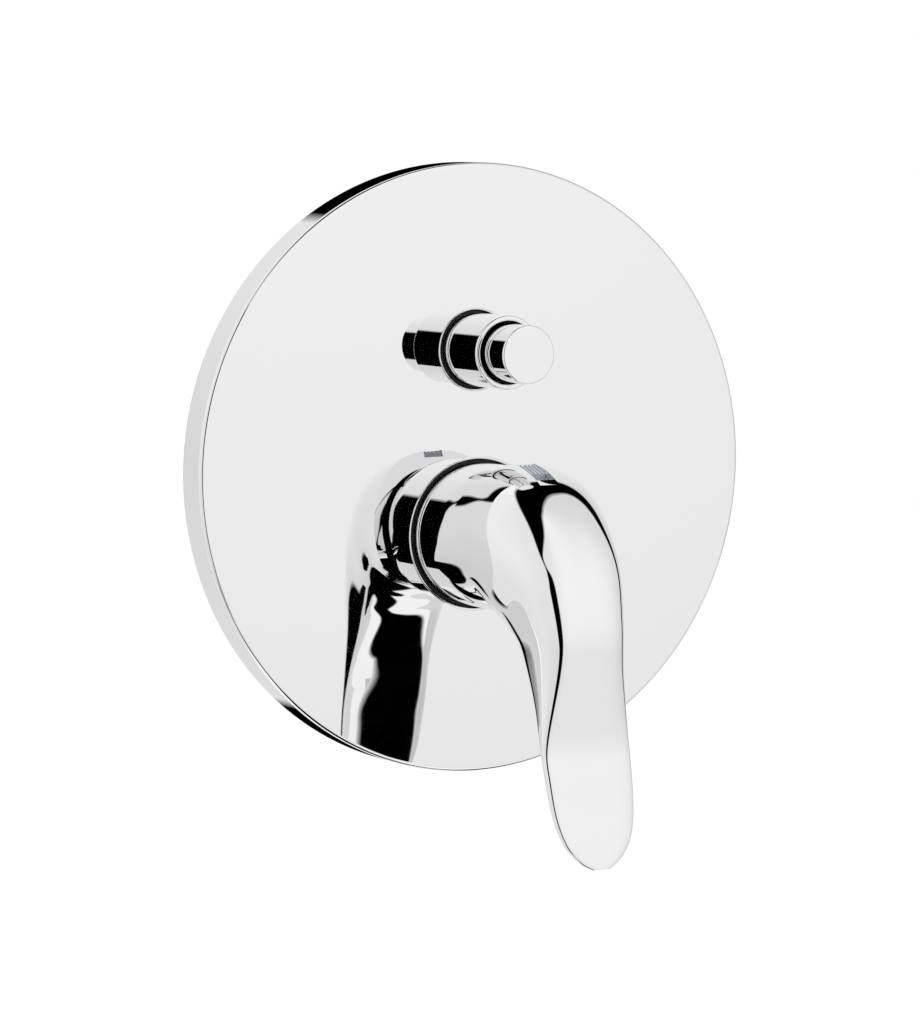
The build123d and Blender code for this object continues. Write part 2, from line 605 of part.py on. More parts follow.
# Set screw that clamps the lever to the stem
with BuildPart() as lever_set_screw:
    with BuildSketch(screw_plane(SCREW_REACH - SCREW_LENGTH)):
        Circle(SCREW_RADIUS)
    extrude(amount=SCREW_LENGTH + SCREW_RADIUS)
    with BuildSketch(screw_plane(SCREW_REACH - SCREW_LENGTH)):
        RegularPolygon(SCREW_KEY_FLATS / 2, 6, major_radius=False)
    extrude(amount=SCREW_KEY_DEPTH, mode=Mode.SUBTRACT)
    # Its point is ground flat on the stem
    with BuildSketch(facing_out(PIVOT_OUT, AXIS_Z)):
        Rectangle(STEM_WIDTH, STEM_WIDTH)
    extrude(amount=STEM_TIP_OUT - PIVOT_OUT, mode=Mode.SUBTRACT)

# Diverter bonnet: plug, flange on the body's face, and the neck that carries the collar
with BuildPart() as diverter_bonnet:
    rod_bore = ROD_RADIUS + RUNNING_SLACK
    bonnet_section = [
        (BONNET_BACK_OUT, rod_bore),
        (BONNET_BACK_OUT, BONNET_PLUG_RADIUS),
        (BODY_FACE_OUT, BONNET_PLUG_RADIUS),
        (BODY_FACE_OUT, BONNET_FLANGE_RADIUS),
        (COLLAR_BACK_OUT, BONNET_FLANGE_RADIUS),
        (COLLAR_BACK_OUT, BONNET_NECK_RADIUS),
        (BONNET_END_OUT, BONNET_NECK_RADIUS),
        (BONNET_END_OUT, rod_bore),
    ]
    revolve(turned(DIVERTER_RISE, bonnet_section), axis=spin_axis(DIVERTER_RISE))
    bonnet_ring_out = BONNET_BACK_OUT + RING_WIDTH
    groove = ring(DIVERTER_RISE, bonnet_ring_out, RING_WIDTH,
                  BONNET_PLUG_RADIUS - RING_GROOVE, BONNET_FLANGE_RADIUS)
    revolve(groove, axis=spin_axis(DIVERTER_RISE), mode=Mode.SUBTRACT)
    groove = ring(DIVERTER_RISE, COLLAR_BACK_OUT, RING_WIDTH, 0, rod_bore + RING_WIDTH)
    revolve(groove, axis=spin_axis(DIVERTER_RISE), mode=Mode.SUBTRACT)

# Seal between bonnet and body
with BuildPart() as bonnet_o_ring:
    revolve(ring(DIVERTER_RISE, bonnet_ring_out, RING_WIDTH,
                 BONNET_PLUG_RADIUS - RING_GROOVE, BONNET_PLUG_RADIUS + RING_SLACK),
            axis=spin_axis(DIVERTER_RISE))

# Seal between bonnet and rod
with BuildPart() as rod_seal:
    revolve(ring(DIVERTER_RISE, COLLAR_BACK_OUT, RING_WIDTH, rod_bore, rod_bore + RING_WIDTH),
            axis=spin_axis(DIVERTER_RISE))

# Pull knob of the diverter
with BuildPart() as diverter_knob:
    extrude(disc(DIVERTER_RISE, KNOB_BACK_OUT, KNOB_RADIUS), amount=KNOB_OUT - KNOB_BACK_OUT)
    fillet(circles_at(diverter_knob, KNOB_OUT, KNOB_RADIUS), radius=KNOB_EDGE_ROUND)
    extrude(disc(DIVERTER_RISE, KNOB_BACK_OUT, ROD_RADIUS), amount=ROD_GRIP, mode=Mode.SUBTRACT)

# Rod from the knob to the far end of the spool
with BuildPart() as diverter_rod:
    rod_back_out = REAR_PISTON_OUT - PISTON_WIDTH / 2
    extrude(disc(DIVERTER_RISE, rod_back_out, ROD_RADIUS), amount=KNOB_BACK_OUT + ROD_GRIP - rod_back_out)

# Spool: two pistons on a core, each with a groove for its seal
with BuildPart() as diverter_spool:
    spool_section = [
        (rod_back_out, ROD_RADIUS),
        (rod_back_out, PISTON_RADIUS),
        (rod_back_out + PISTON_WIDTH, PISTON_RADIUS),
        (rod_back_out + PISTON_WIDTH, SPOOL_CORE_RADIUS),
        (SPRING_BACK_OUT - PISTON_WIDTH, SPOOL_CORE_RADIUS),
        (SPRING_BACK_OUT - PISTON_WIDTH, PISTON_RADIUS),
        (SPRING_BACK_OUT, PISTON_RADIUS),
        (SPRING_BACK_OUT, ROD_RADIUS),
    ]
    revolve(turned(DIVERTER_RISE, spool_section), axis=spin_axis(DIVERTER_RISE))
    for piston_out in (FRONT_PISTON_OUT, REAR_PISTON_OUT):
        groove = ring(DIVERTER_RISE, piston_out - SEAL_WIDTH / 2, SEAL_WIDTH,
                      PISTON_RADIUS - SEAL_DEPTH, CHAMBER_RADIUS)
        revolve(groove, axis=spin_axis(DIVERTER_RISE), mode=Mode.SUBTRACT)

# Seals of the two pistons
with BuildPart() as spool_seals:
    for piston_out in (FRONT_PISTON_OUT, REAR_PISTON_OUT):
        revolve(ring(DIVERTER_RISE, piston_out - SEAL_WIDTH / 2, SEAL_WIDTH,
                     PISTON_RADIUS - SEAL_DEPTH, CHAMBER_RADIUS - SEAL_SLACK), axis=spin_axis(DIVERTER_RISE))

# Spring that pushes the knob home, between the bonnet and the front piston
with BuildPart() as diverter_spring:
    spring_front_out = BONNET_BACK_OUT - SPRING_WIRE / 2
    spring_height = spring_front_out - SPRING_BACK_OUT - SPRING_WIRE / 2
    with BuildLine() as coil:
        Helix(
            pitch=spring_height / SPRING_TURNS,
            height=spring_height,
            radius=SPRING_RADIUS,
            center=(0, -spring_front_out, DIVERTER_RISE),
            direction=(0, 1, 0),
        )
    with BuildSketch(Plane(origin=coil.line @ 0, z_dir=coil.line % 0)):
        Circle(SPRING_WIRE / 2)
    sweep()


def facing_up(depth, height):
    """Level plane over a place in the wall, with its normal up."""
    return Plane(origin=(0, depth, height), x_dir=(1, 0, 0), z_dir=(0, 0, 1))


def facing_down(depth, height):
    """Level plane over a place in the wall, with its normal down."""
    return Plane(origin=(0, depth, height), x_dir=(1, 0, 0), z_dir=(0, 0, -1))


def facing_side(side, across):
    """Plane across the inlets' axis, on the right (1) or the left (-1), facing away from the middle."""
    return Plane(origin=(side * across, INLET_DEPTH, AXIS_Z), x_dir=(0, 1, 0), z_dir=(side, 0, 0))


def at_port_mouth(edge):
    """True for an edge in the end plane of one of the four hexagons."""
    middle = edge.center()
    off_mouth = (
        abs(middle.X) - INLET_REACH,
        middle.Z - UPPER_OUTLET_RISE,
        middle.Z + LOWER_OUTLET_DROP,
    )
    return min(abs(distance) for distance in off_mouth) < 1e-3


ALONG_X = (0, 90, 0)
ALONG_Y = (90, 0, 0)

# Brass body behind the wall: two barrels, two inlets at the sides, outlets above and below
with BuildPart() as mixer_body:
    barrel_length = BARREL_DEPTH + BODY_FACE_OUT
    with Locations((0, (BARREL_DEPTH - BODY_FACE_OUT) / 2, AXIS_Z)):
        Cylinder(BARREL_RADIUS, barrel_length, rotation=ALONG_Y)
    neck_length = NECK_END_OUT - BODY_FACE_OUT
    extrude(disc(AXIS_Z, BODY_FACE_OUT, NECK_RADIUS), amount=neck_length)
    diverter_end = CHAMBER_END_DEPTH + DIVERTER_WALL
    diverter_barrel = disc(DIVERTER_RISE, BODY_FACE_OUT, DIVERTER_BARREL_RADIUS)
    extrude(diverter_barrel, amount=-(diverter_end + BODY_FACE_OUT))
    # Bridge between the barrels
    bridge_back = MIXED_WAY_DEPTH + BRIDGE_WIDTH / 2
    with Locations((0, bridge_back / 2, (AXIS_Z + DIVERTER_RISE) / 2)):
        Box(BRIDGE_WIDTH, bridge_back, DIVERTER_RISE - AXIS_Z)
    # Inlet tubes with their hexagons
    with Locations((0, INLET_DEPTH, AXIS_Z)):
        Cylinder(INLET_TUBE_RADIUS, 2 * INLET_REACH - PORT_BOSS_LENGTH, rotation=ALONG_X)
    for side in (-1, 1):
        with BuildSketch(facing_side(side, INLET_REACH)):
            RegularPolygon(PORT_FLATS / 2, 6, major_radius=False)
        extrude(amount=-PORT_BOSS_LENGTH)
    # Outlet tubes with their hexagons
    with BuildSketch(facing_up(UPPER_WAY_DEPTH, UPPER_OUTLET_RISE)):
        RegularPolygon(PORT_FLATS / 2, 6, major_radius=False)
    extrude(amount=-PORT_BOSS_LENGTH)
    with BuildSketch(facing_up(UPPER_WAY_DEPTH, DIVERTER_RISE)):
        Circle(LOWER_TUBE_RADIUS)
    extrude(amount=UPPER_OUTLET_RISE - DIVERTER_RISE - PORT_BORE_DEPTH)
    with BuildSketch(facing_down(LOWER_WAY_DEPTH, -LOWER_OUTLET_DROP)):
        RegularPolygon(PORT_FLATS / 2, 6, major_radius=False)
    extrude(amount=-PORT_BOSS_LENGTH)
    with BuildSketch(facing_down(LOWER_WAY_DEPTH, DIVERTER_RISE)):
        Circle(LOWER_TUBE_RADIUS)
    extrude(amount=DIVERTER_RISE + LOWER_OUTLET_DROP - PORT_BORE_DEPTH)

    # Pocket of the cartridge and the drillings behind its ports
    pocket_length = NECK_END_OUT + POCKET_FLOOR_DEPTH
    extrude(disc(AXIS_Z, NECK_END_OUT, POCKET_RADIUS), amount=-pocket_length, mode=Mode.SUBTRACT)
    for across, height in PORTS:
        with BuildSketch(facing_out(BASE_OUT, height, across)):
            Circle(PORT_RADIUS)
        depth = INLET_DEPTH if across else MIXED_WAY_DEPTH
        extrude(amount=-(depth - POCKET_FLOOR_DEPTH), mode=Mode.SUBTRACT)
    for side in (-1, 1):
        with BuildSketch(facing_side(side, PORT_SPREAD)):
            Circle(WATERWAY_RADIUS)
        extrude(amount=INLET_REACH - PORT_SPREAD, mode=Mode.SUBTRACT)
        with BuildSketch(facing_side(side, INLET_REACH)):
            Circle(PORT_BORE_RADIUS)
        extrude(amount=-PORT_BORE_DEPTH, mode=Mode.SUBTRACT)
    # Bore of the bonnet, chamber of the diverter and its three waterways
    extrude(disc(DIVERTER_RISE, BODY_FACE_OUT, BONNET_PLUG_RADIUS + POCKET_SLACK),
            amount=-BONNET_PLUG, mode=Mode.SUBTRACT)
    extrude(disc(DIVERTER_RISE, BODY_FACE_OUT, CHAMBER_RADIUS),
            amount=-(CHAMBER_END_DEPTH + BODY_FACE_OUT), mode=Mode.SUBTRACT)
    with BuildSketch(facing_up(MIXED_WAY_DEPTH, AXIS_Z + PORT_SPREAD)):
        Circle(OUTLET_WAY_RADIUS)
    extrude(amount=DIVERTER_RISE - AXIS_Z - PORT_SPREAD, mode=Mode.SUBTRACT)
    with BuildSketch(facing_up(UPPER_WAY_DEPTH, DIVERTER_RISE)):
        Circle(OUTLET_WAY_RADIUS)
    extrude(amount=UPPER_OUTLET_RISE - DIVERTER_RISE, mode=Mode.SUBTRACT)
    with BuildSketch(facing_down(LOWER_WAY_DEPTH, DIVERTER_RISE)):
        Circle(OUTLET_WAY_RADIUS)
    extrude(amount=DIVERTER_RISE + LOWER_OUTLET_DROP, mode=Mode.SUBTRACT)
    with BuildSketch(facing_up(UPPER_WAY_DEPTH, UPPER_OUTLET_RISE)):
        Circle(PORT_BORE_RADIUS)
    extrude(amount=-PORT_BORE_DEPTH, mode=Mode.SUBTRACT)
    with BuildSketch(facing_down(LOWER_WAY_DEPTH, -LOWER_OUTLET_DROP)):
        Circle(PORT_BORE_RADIUS)
    extrude(amount=-PORT_BORE_DEPTH, mode=Mode.SUBTRACT)

    # Rounded rear edges of the two barrels, and eased outer corners of the hexagons
    fillet(circles_at(mixer_body, -BARREL_DEPTH, BARREL_RADIUS), radius=CASTING_ROUND)
    fillet(circles_at(mixer_body, -diverter_end, DIVERTER_BARREL_RADIUS), radius=CASTING_ROUND)
    mouth_edges = mixer_body.edges().filter_by(GeomType.LINE).filter_by(at_port_mouth)
    chamfer(mouth_edges, length=PORT_CHAMFER)

os.makedirs("parts", exist_ok=True)
mixer_body.part.label = "mixer_body"
export_step(mixer_body.part, "parts/mixer_body.step")
cover_plate.part.label = "cover_plate"
export_step(cover_plate.part, "parts/cover_plate.step")
plate_gasket.part.label = "plate_gasket"
export_step(plate_gasket.part, "parts/plate_gasket.step")
lever_sleeve.part.label = "lever_sleeve"
export_step(lever_sleeve.part, "parts/lever_sleeve.step")
sleeve_o_ring.part.label = "sleeve_o_ring"
export_step(sleeve_o_ring.part, "parts/sleeve_o_ring.step")
diverter_collar.part.label = "diverter_collar"
export_step(diverter_collar.part, "parts/diverter_collar.step")
collar_o_ring.part.label = "collar_o_ring"
export_step(collar_o_ring.part, "parts/collar_o_ring.step")
cartridge_nut.part.label = "cartridge_nut"
export_step(cartridge_nut.part, "parts/cartridge_nut.step")
cartridge_housing.part.label = "cartridge_housing"
export_step(cartridge_housing.part, "parts/cartridge_housing.step")
cartridge_base.part.label = "cartridge_base"
export_step(cartridge_base.part, "parts/cartridge_base.step")
base_port_seals.part.label = "base_port_seals"
export_step(base_port_seals.part, "parts/base_port_seals.step")
fixed_disc.part.label = "fixed_disc"
export_step(fixed_disc.part, "parts/fixed_disc.step")
moving_disc.part.label = "moving_disc"
export_step(moving_disc.part, "parts/moving_disc.step")
disc_carrier.part.label = "disc_carrier"
export_step(disc_carrier.part, "parts/disc_carrier.step")
cartridge_turret.part.label = "cartridge_turret"
export_step(cartridge_turret.part, "parts/cartridge_turret.step")
stem_pivot_pin.part.label = "stem_pivot_pin"
export_step(stem_pivot_pin.part, "parts/stem_pivot_pin.step")
cartridge_stem.part.label = "cartridge_stem"
export_step(cartridge_stem.part, "parts/cartridge_stem.step")
lever_handle.part.label = "lever_handle"
export_step(lever_handle.part, "parts/lever_handle.step")
index_plug.part.label = "index_plug"
export_step(index_plug.part, "parts/index_plug.step")
lever_set_screw.part.label = "lever_set_screw"
export_step(lever_set_screw.part, "parts/lever_set_screw.step")
diverter_bonnet.part.label = "diverter_bonnet"
export_step(diverter_bonnet.part, "parts/diverter_bonnet.step")
bonnet_o_ring.part.label = "bonnet_o_ring"
export_step(bonnet_o_ring.part, "parts/bonnet_o_ring.step")
rod_seal.part.label = "rod_seal"
export_step(rod_seal.part, "parts/rod_seal.step")
diverter_knob.part.label = "diverter_knob"
export_step(diverter_knob.part, "parts/diverter_knob.step")
diverter_rod.part.label = "diverter_rod"
export_step(diverter_rod.part, "parts/diverter_rod.step")
diverter_spool.part.label = "diverter_spool"
export_step(diverter_spool.part, "parts/diverter_spool.step")
spool_seals.part.label = "spool_seals"
export_step(spool_seals.part, "parts/spool_seals.step")
diverter_spring.part.label = "diverter_spring"
export_step(diverter_spring.part, "parts/diverter_spring.step")
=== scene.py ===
"""Studio scene of the concealed shower mixer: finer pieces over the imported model, finishes, light."""
import json
import math

import bmesh
import bpy
import numpy as np
from mathutils import Matrix, Vector
from mathutils.bvhtree import BVHTree
from mathutils.interpolate import poly_3d_calc


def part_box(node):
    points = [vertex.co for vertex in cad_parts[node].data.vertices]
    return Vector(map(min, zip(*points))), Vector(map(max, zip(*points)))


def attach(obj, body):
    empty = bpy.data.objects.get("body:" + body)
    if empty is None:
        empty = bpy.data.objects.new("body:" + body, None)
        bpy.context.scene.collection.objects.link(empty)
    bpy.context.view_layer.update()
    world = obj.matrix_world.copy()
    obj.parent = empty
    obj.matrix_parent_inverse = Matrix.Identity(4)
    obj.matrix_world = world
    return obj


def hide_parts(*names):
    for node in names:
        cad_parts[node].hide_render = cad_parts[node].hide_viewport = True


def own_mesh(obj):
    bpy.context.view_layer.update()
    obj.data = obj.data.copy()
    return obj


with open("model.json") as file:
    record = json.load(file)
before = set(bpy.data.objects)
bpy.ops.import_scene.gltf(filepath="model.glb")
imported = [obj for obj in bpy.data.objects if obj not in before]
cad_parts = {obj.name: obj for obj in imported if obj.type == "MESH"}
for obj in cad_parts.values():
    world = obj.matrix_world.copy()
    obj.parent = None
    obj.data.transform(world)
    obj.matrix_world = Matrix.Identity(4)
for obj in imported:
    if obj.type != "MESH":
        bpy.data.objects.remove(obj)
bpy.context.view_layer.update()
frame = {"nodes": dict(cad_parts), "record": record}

NODES = frame["nodes"]
MM = 0.001

# The photograph's camera, in the part's frame
CAMERA_AZIMUTH = 28.149
CAMERA_ELEVATION = 5.627
CAMERA_ROLL = -0.604
CAMERA_DISTANCE = 1.27345
CAMERA_TARGET = Vector((-6.096, -12.5, -13.479)) * MM
CAMERA_LENS = 151.07
CAMERA_SENSOR = 36.0
CAMERA_CLIP = (0.05, 50.0)

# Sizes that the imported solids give, metres; "out" is the distance from the wall, towards the user
PLATE_LOW, PLATE_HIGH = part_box("cover_plate")
PLATE_RADIUS = PLATE_HIGH.x
PLATE_FRONT = -PLATE_LOW.y
PLATE_BACK = -PLATE_HIGH.y
SLEEVE_LOW, SLEEVE_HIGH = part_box("lever_sleeve")
SLEEVE_RADIUS = SLEEVE_HIGH.x
AXIS_Z = (SLEEVE_LOW.z + SLEEVE_HIGH.z) / 2
COLLAR_LOW, COLLAR_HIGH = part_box("diverter_collar")
COLLAR_RADIUS = COLLAR_HIGH.x
COLLAR_OUT = -COLLAR_LOW.y
DIVERTER_Z = (COLLAR_LOW.z + COLLAR_HIGH.z) / 2
KNOB_LOW, KNOB_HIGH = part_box("diverter_knob")
KNOB_RADIUS = KNOB_HIGH.x

# Sizes repeated from the part's source
PLATE_SHEET = 1.5 * MM
PLATE_EDGE_ROUND = 1.2 * MM
PLATE_GAP = 0.75 * MM
LIP_DEPTH = 4.0 * MM
LIP_ROUND = 1.1 * MM
SLEEVE_WALL = 2.2 * MM
PIVOT_OUT = 26.0 * MM
DOME_MOUTH_RADIUS = 13.5 * MM
RING_WIDTH = 1.7 * MM
RING_GROOVE = 0.85 * MM
RING_OUT = PLATE_FRONT - 3.3 * MM
COLLAR_WALL = 1.6 * MM
COLLAR_LIP_ROUND = 0.7 * MM
KNOB_EDGE_ROUND = 0.6 * MM
ROD_RADIUS = 3.0 * MM
ROD_GRIP = 16.0 * MM
LEVER_GAP = 1.35 * MM
LEVER_WALL = 2.0 * MM
CAVITY_RADIUS = SLEEVE_RADIUS + LEVER_GAP
CUP_HALF_WIDTH = CAVITY_RADIUS + LEVER_WALL

# Fineness of the turned pieces
RINGS = 256
ROUND_STEPS = 12
DOME_STEPS = 32
DOME_INSIDE_STEPS = 24

# The plate's second finish, and which of its faces have it: those in the rim, and those that face the wall
INSIDE_FINISH = 1
RIM_SHARE = 0.9
WALL_FACING = 0.5


def link(obj):
    bpy.context.scene.collection.objects.link(obj)
    return obj


class Form:
    """Collects strips of faces with exact normals, and makes one mesh of them."""

    def __init__(self):
        self.points = []
        self.normals = []
        self.faces = []

    def add(self, points, normals, faces):
        start = len(self.points)
        self.points += points
        self.normals += normals
        self.faces += [[start + i for i in face] for face in faces]

    def turn(self, run, axis_z, segments=RINGS):
        """Turns a smooth run of (out, radius, normal out, normal radial) about the axis at this height."""
        points = []
        normals = []
        for out, radius, n_out, n_radial in run:
            for step in range(segments):
                angle = 2 * math.pi * step / segments
                c, s = math.cos(angle), math.sin(angle)
                points.append((radius * c, -out, axis_z + radius * s))
                normals.append((n_radial * c, -n_out, n_radial * s))
        faces = []
        for row in range(len(run) - 1):
            for step in range(segments):
                after = (step + 1) % segments
                faces.append((row * segments + step, row * segments + after,
                              (row + 1) * segments + after, (row + 1) * segments + step))
        self.add(points, normals, faces)

    def flat(self, out, facing, loops, segments=RINGS):
        """Plane face this far out, bounded by (radius, axis height) circles, the outermost first."""
        sheet = bmesh.new()
        for radius, axis_z in loops:
            ring = []
            for step in range(segments):
                angle = 2 * math.pi * step / segments
                rise = axis_z + radius * math.sin(angle)
                ring.append(sheet.verts.new((radius * math.cos(angle), -out, rise)))
            for a, b in zip(ring, ring[1:] + ring[:1]):
                sheet.edges.new((a, b))
        bmesh.ops.triangle_fill(sheet, edges=sheet.edges[:], use_beauty=True, normal=(0, -facing, 0))
        sheet.verts.index_update()
        points = [tuple(v.co) for v in sheet.verts]
        faces = [[v.index for v in f.verts] for f in sheet.faces]
        self.add(points, [(0, -facing, 0)] * len(points), faces)
        sheet.free()

    def make(self, name):
        mesh = bpy.data.meshes.new(name)
        mesh.from_pydata(self.points, [], self.faces)
        normals = np.array(self.normals)
        # Each face is wound so that it looks the way its normals point
        for polygon in mesh.polygons:
            if polygon.normal.dot(Vector(normals[polygon.vertices[0]])) < 0:
                polygon.flip()
        mesh.update()
        mesh.polygons.foreach_set("use_smooth", [True] * len(mesh.polygons))
        mesh.normals_split_custom_set_from_vertices(normals)
        return link(bpy.data.objects.new(name, mesh))


def straight(start, end, facing, steps=1):
    """Straight run between two (out, radius) points; facing is the (out, radial) side that it shows."""
    length = math.hypot(end[0] - start[0], end[1] - start[1])
    normal = ((end[1] - start[1]) / length, -(end[0] - start[0]) / length)
    if normal[0] * facing[0] + normal[1] * facing[1] < 0:
        normal = (-normal[0], -normal[1])
    run = []
    for step in range(steps + 1):
        part = step / steps
        run.append((start[0] + (end[0] - start[0]) * part, start[1] + (end[1] - start[1]) * part, *normal))
    return run


def arc(center, radius, start, end, hollow=False, steps=ROUND_STEPS):
    """Arc about an (out, radius) centre, in degrees: 0 faces out from the wall, 90 away from the axis."""
    run = []
    for step in range(steps + 1):
        angle = math.radians(start + (end - start) * step / steps)
        c, s = math.cos(angle), math.sin(angle)
        side = -1 if hollow else 1
        run.append((center[0] + radius * c, center[1] + radius * s, side * c, side * s))
    return run


def stand_for(piece, node, body):
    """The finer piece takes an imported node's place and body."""
    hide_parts(node)
    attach(piece, body)


def build_cover_plate():
    """Pressed plate: flat front with two holes, rounded edge, rim, and lips turned inwards."""
    holes = ((SLEEVE_RADIUS + PLATE_GAP, AXIS_Z), (COLLAR_RADIUS + PLATE_GAP, DIVERTER_Z))
    sheet_back = PLATE_FRONT - PLATE_SHEET
    rim_bore = PLATE_RADIUS - PLATE_SHEET
    segments = 2 * RINGS
    plate = Form()
    front_loops = [(PLATE_RADIUS - PLATE_EDGE_ROUND, 0)] + [(r + LIP_ROUND, z) for r, z in holes]
    plate.flat(PLATE_FRONT, 1, front_loops, segments)
    edge_centre = (PLATE_FRONT - PLATE_EDGE_ROUND, PLATE_RADIUS - PLATE_EDGE_ROUND)
    outside = arc(edge_centre, PLATE_EDGE_ROUND, 0, 90)
    outside += straight(outside[-1][:2], (PLATE_BACK, PLATE_RADIUS), (0, 1))[1:]
    plate.turn(outside, 0, segments)
    plate.turn(straight((PLATE_BACK, PLATE_RADIUS), (PLATE_BACK, rim_bore), (-1, 0)), 0, segments)
    plate.turn(straight((PLATE_BACK, rim_bore), (sheet_back, rim_bore), (0, -1)), 0, segments)
    plate.flat(sheet_back, -1, [(rim_bore, 0)] + [(r + PLATE_SHEET, z) for r, z in holes], segments)
    for radius, axis_z in holes:
        lip_end = PLATE_FRONT - LIP_DEPTH
        lip_centre = (PLATE_FRONT - LIP_ROUND, radius + LIP_ROUND)
        lip = arc(lip_centre, LIP_ROUND, 0, -90)
        lip += straight(lip[-1][:2], (lip_end, radius), (0, -1))[1:]
        plate.turn(lip, axis_z, segments)
        plate.turn(straight((lip_end, radius), (lip_end, radius + PLATE_SHEET), (-1, 0)), axis_z, segments)
        plate.turn(straight((lip_end, radius + PLATE_SHEET), (sheet_back, radius + PLATE_SHEET), (0, 1)),
                   axis_z, segments)
    piece = plate.make("plate_polished")
    for polygon in piece.data.polygons:
        place, facing = polygon.center, polygon.normal
        inwards = facing.x * place.x + facing.z * place.z < 0
        in_rim = inwards and math.hypot(place.x, place.z) > RIM_SHARE * PLATE_RADIUS
        polygon.material_index = INSIDE_FINISH if in_rim or facing.y > WALL_FACING else 0
    return piece


def build_sleeve():
    """Tube with a ring groove and a domed end."""
    back = -SLEEVE_HIGH.y
    bore = SLEEVE_RADIUS - SLEEVE_WALL
    groove = SLEEVE_RADIUS - RING_GROOVE
    ring_front = RING_OUT + RING_WIDTH
    mouth_outer = math.degrees(math.asin(DOME_MOUTH_RADIUS / SLEEVE_RADIUS))
    mouth_inner = math.degrees(math.asin(DOME_MOUTH_RADIUS / bore))
    sleeve = Form()
    sleeve.turn(straight((back, bore), (back, SLEEVE_RADIUS), (-1, 0)), AXIS_Z)
    sleeve.turn(straight((back, SLEEVE_RADIUS), (RING_OUT, SLEEVE_RADIUS), (0, 1)), AXIS_Z)
    sleeve.turn(straight((RING_OUT, SLEEVE_RADIUS), (RING_OUT, groove), (1, 0)), AXIS_Z)
    sleeve.turn(straight((RING_OUT, groove), (ring_front, groove), (0, 1)), AXIS_Z)
    sleeve.turn(straight((ring_front, groove), (ring_front, SLEEVE_RADIUS), (-1, 0)), AXIS_Z)
    dome = straight((ring_front, SLEEVE_RADIUS), (PIVOT_OUT, SLEEVE_RADIUS), (0, 1))
    dome += arc((PIVOT_OUT, 0), SLEEVE_RADIUS, 90, mouth_outer, steps=DOME_STEPS)[1:]
    sleeve.turn(dome, AXIS_Z)
    inside = arc((PIVOT_OUT, 0), bore, mouth_inner, 90, hollow=True, steps=DOME_INSIDE_STEPS)
    inside += straight((PIVOT_OUT, bore), (back, bore), (0, -1))[1:]
    sleeve.turn(straight(dome[-1][:2], inside[0][:2], (0, -1)), AXIS_Z)
    sleeve.turn(inside, AXIS_Z)
    return sleeve.make("sleeve_polished")


def build_collar():
    """Plain tube with a rounded lip and a ring groove."""
    back = -COLLAR_HIGH.y
    bore = COLLAR_RADIUS - COLLAR_WALL
    groove = COLLAR_RADIUS - RING_GROOVE
    ring_front = RING_OUT + RING_WIDTH
    lip_out = COLLAR_OUT - COLLAR_LIP_ROUND
    collar = Form()
    collar.turn(straight((back, bore), (back, COLLAR_RADIUS), (-1, 0)), DIVERTER_Z)
    collar.turn(straight((back, COLLAR_RADIUS), (RING_OUT, COLLAR_RADIUS), (0, 1)), DIVERTER_Z)
    collar.turn(straight((RING_OUT, COLLAR_RADIUS), (RING_OUT, groove), (1, 0)), DIVERTER_Z)
    collar.turn(straight((RING_OUT, groove), (ring_front, groove), (0, 1)), DIVERTER_Z)
    collar.turn(straight((ring_front, groove), (ring_front, COLLAR_RADIUS), (-1, 0)), DIVERTER_Z)
    outside = straight((ring_front, COLLAR_RADIUS), (lip_out, COLLAR_RADIUS), (0, 1))
    outside += arc((lip_out, COLLAR_RADIUS - COLLAR_LIP_ROUND), COLLAR_LIP_ROUND, 90, 0)[1:]
    outside += arc((lip_out, bore + COLLAR_LIP_ROUND), COLLAR_LIP_ROUND, 0, -90)
    outside += straight((lip_out, bore), (back, bore), (0, -1))[1:]
    collar.turn(outside, DIVERTER_Z)
    return collar.make("collar_polished")


def build_knob():
    """Plain round knob with a flat end, a small rounded edge and the rod's hole behind."""
    back = -KNOB_HIGH.y
    front = -KNOB_LOW.y
    hole_end = back + ROD_GRIP
    knob = Form()
    knob.turn(straight((back, ROD_RADIUS), (back, KNOB_RADIUS), (-1, 0)), DIVERTER_Z)
    edge_centre = (front - KNOB_EDGE_ROUND, KNOB_RADIUS - KNOB_EDGE_ROUND)
    outside = straight((back, KNOB_RADIUS), (edge_centre[0], KNOB_RADIUS), (0, 1))
    outside += arc(edge_centre, KNOB_EDGE_ROUND, 90, 0)[1:]
    knob.turn(outside, DIVERTER_Z)
    knob.flat(front, 1, [(edge_centre[1], DIVERTER_Z)])
    knob.turn(straight((back, ROD_RADIUS), (hole_end, ROD_RADIUS), (0, -1)), DIVERTER_Z)
    knob.flat(hole_end, -1, [(ROD_RADIUS, DIVERTER_Z)])
    return knob.make("knob_polished")


# Lever: the stations of the part's source, millimetres
HUB_OUT = 14.0
HUB_DROP = 30.6
CUP_STATIONS = [
    # out, angle, front, widest, back, inset, front inset, front squareness, back squareness
    (-2.0, 90, 29.0, 30.2, 37.6, -1.9, -1.3, 2.0, 2.3),
    (6.0, 90, 29.3, 30.0, 37.6, 0.1, 0.8, 2.05, 2.3),
    (HUB_OUT, 90, 28.9, 29.6, 37.6, 2.1, 3.2, 2.4, 2.3),
    (HUB_OUT, 72, 26.4, 28.6, 36.3, 3.9, 5.2, 2.75, 2.4),
    (HUB_OUT, 54, 22.9, 26.4, 35.8, 5.8, 7.9, 3.1, 2.5),
    (HUB_OUT, 36, 19.4, 24.6, 36.7, 8.4, 9.1, 3.7, 2.6),
    (HUB_OUT, 18, 16.4, 24.0, 38.8, 10.3, 10.5, 4.0, 2.7),
    (HUB_OUT, 0, 14.8, 25.4, 42.6, 11.4, 11.3, 4.4, 2.8),
]
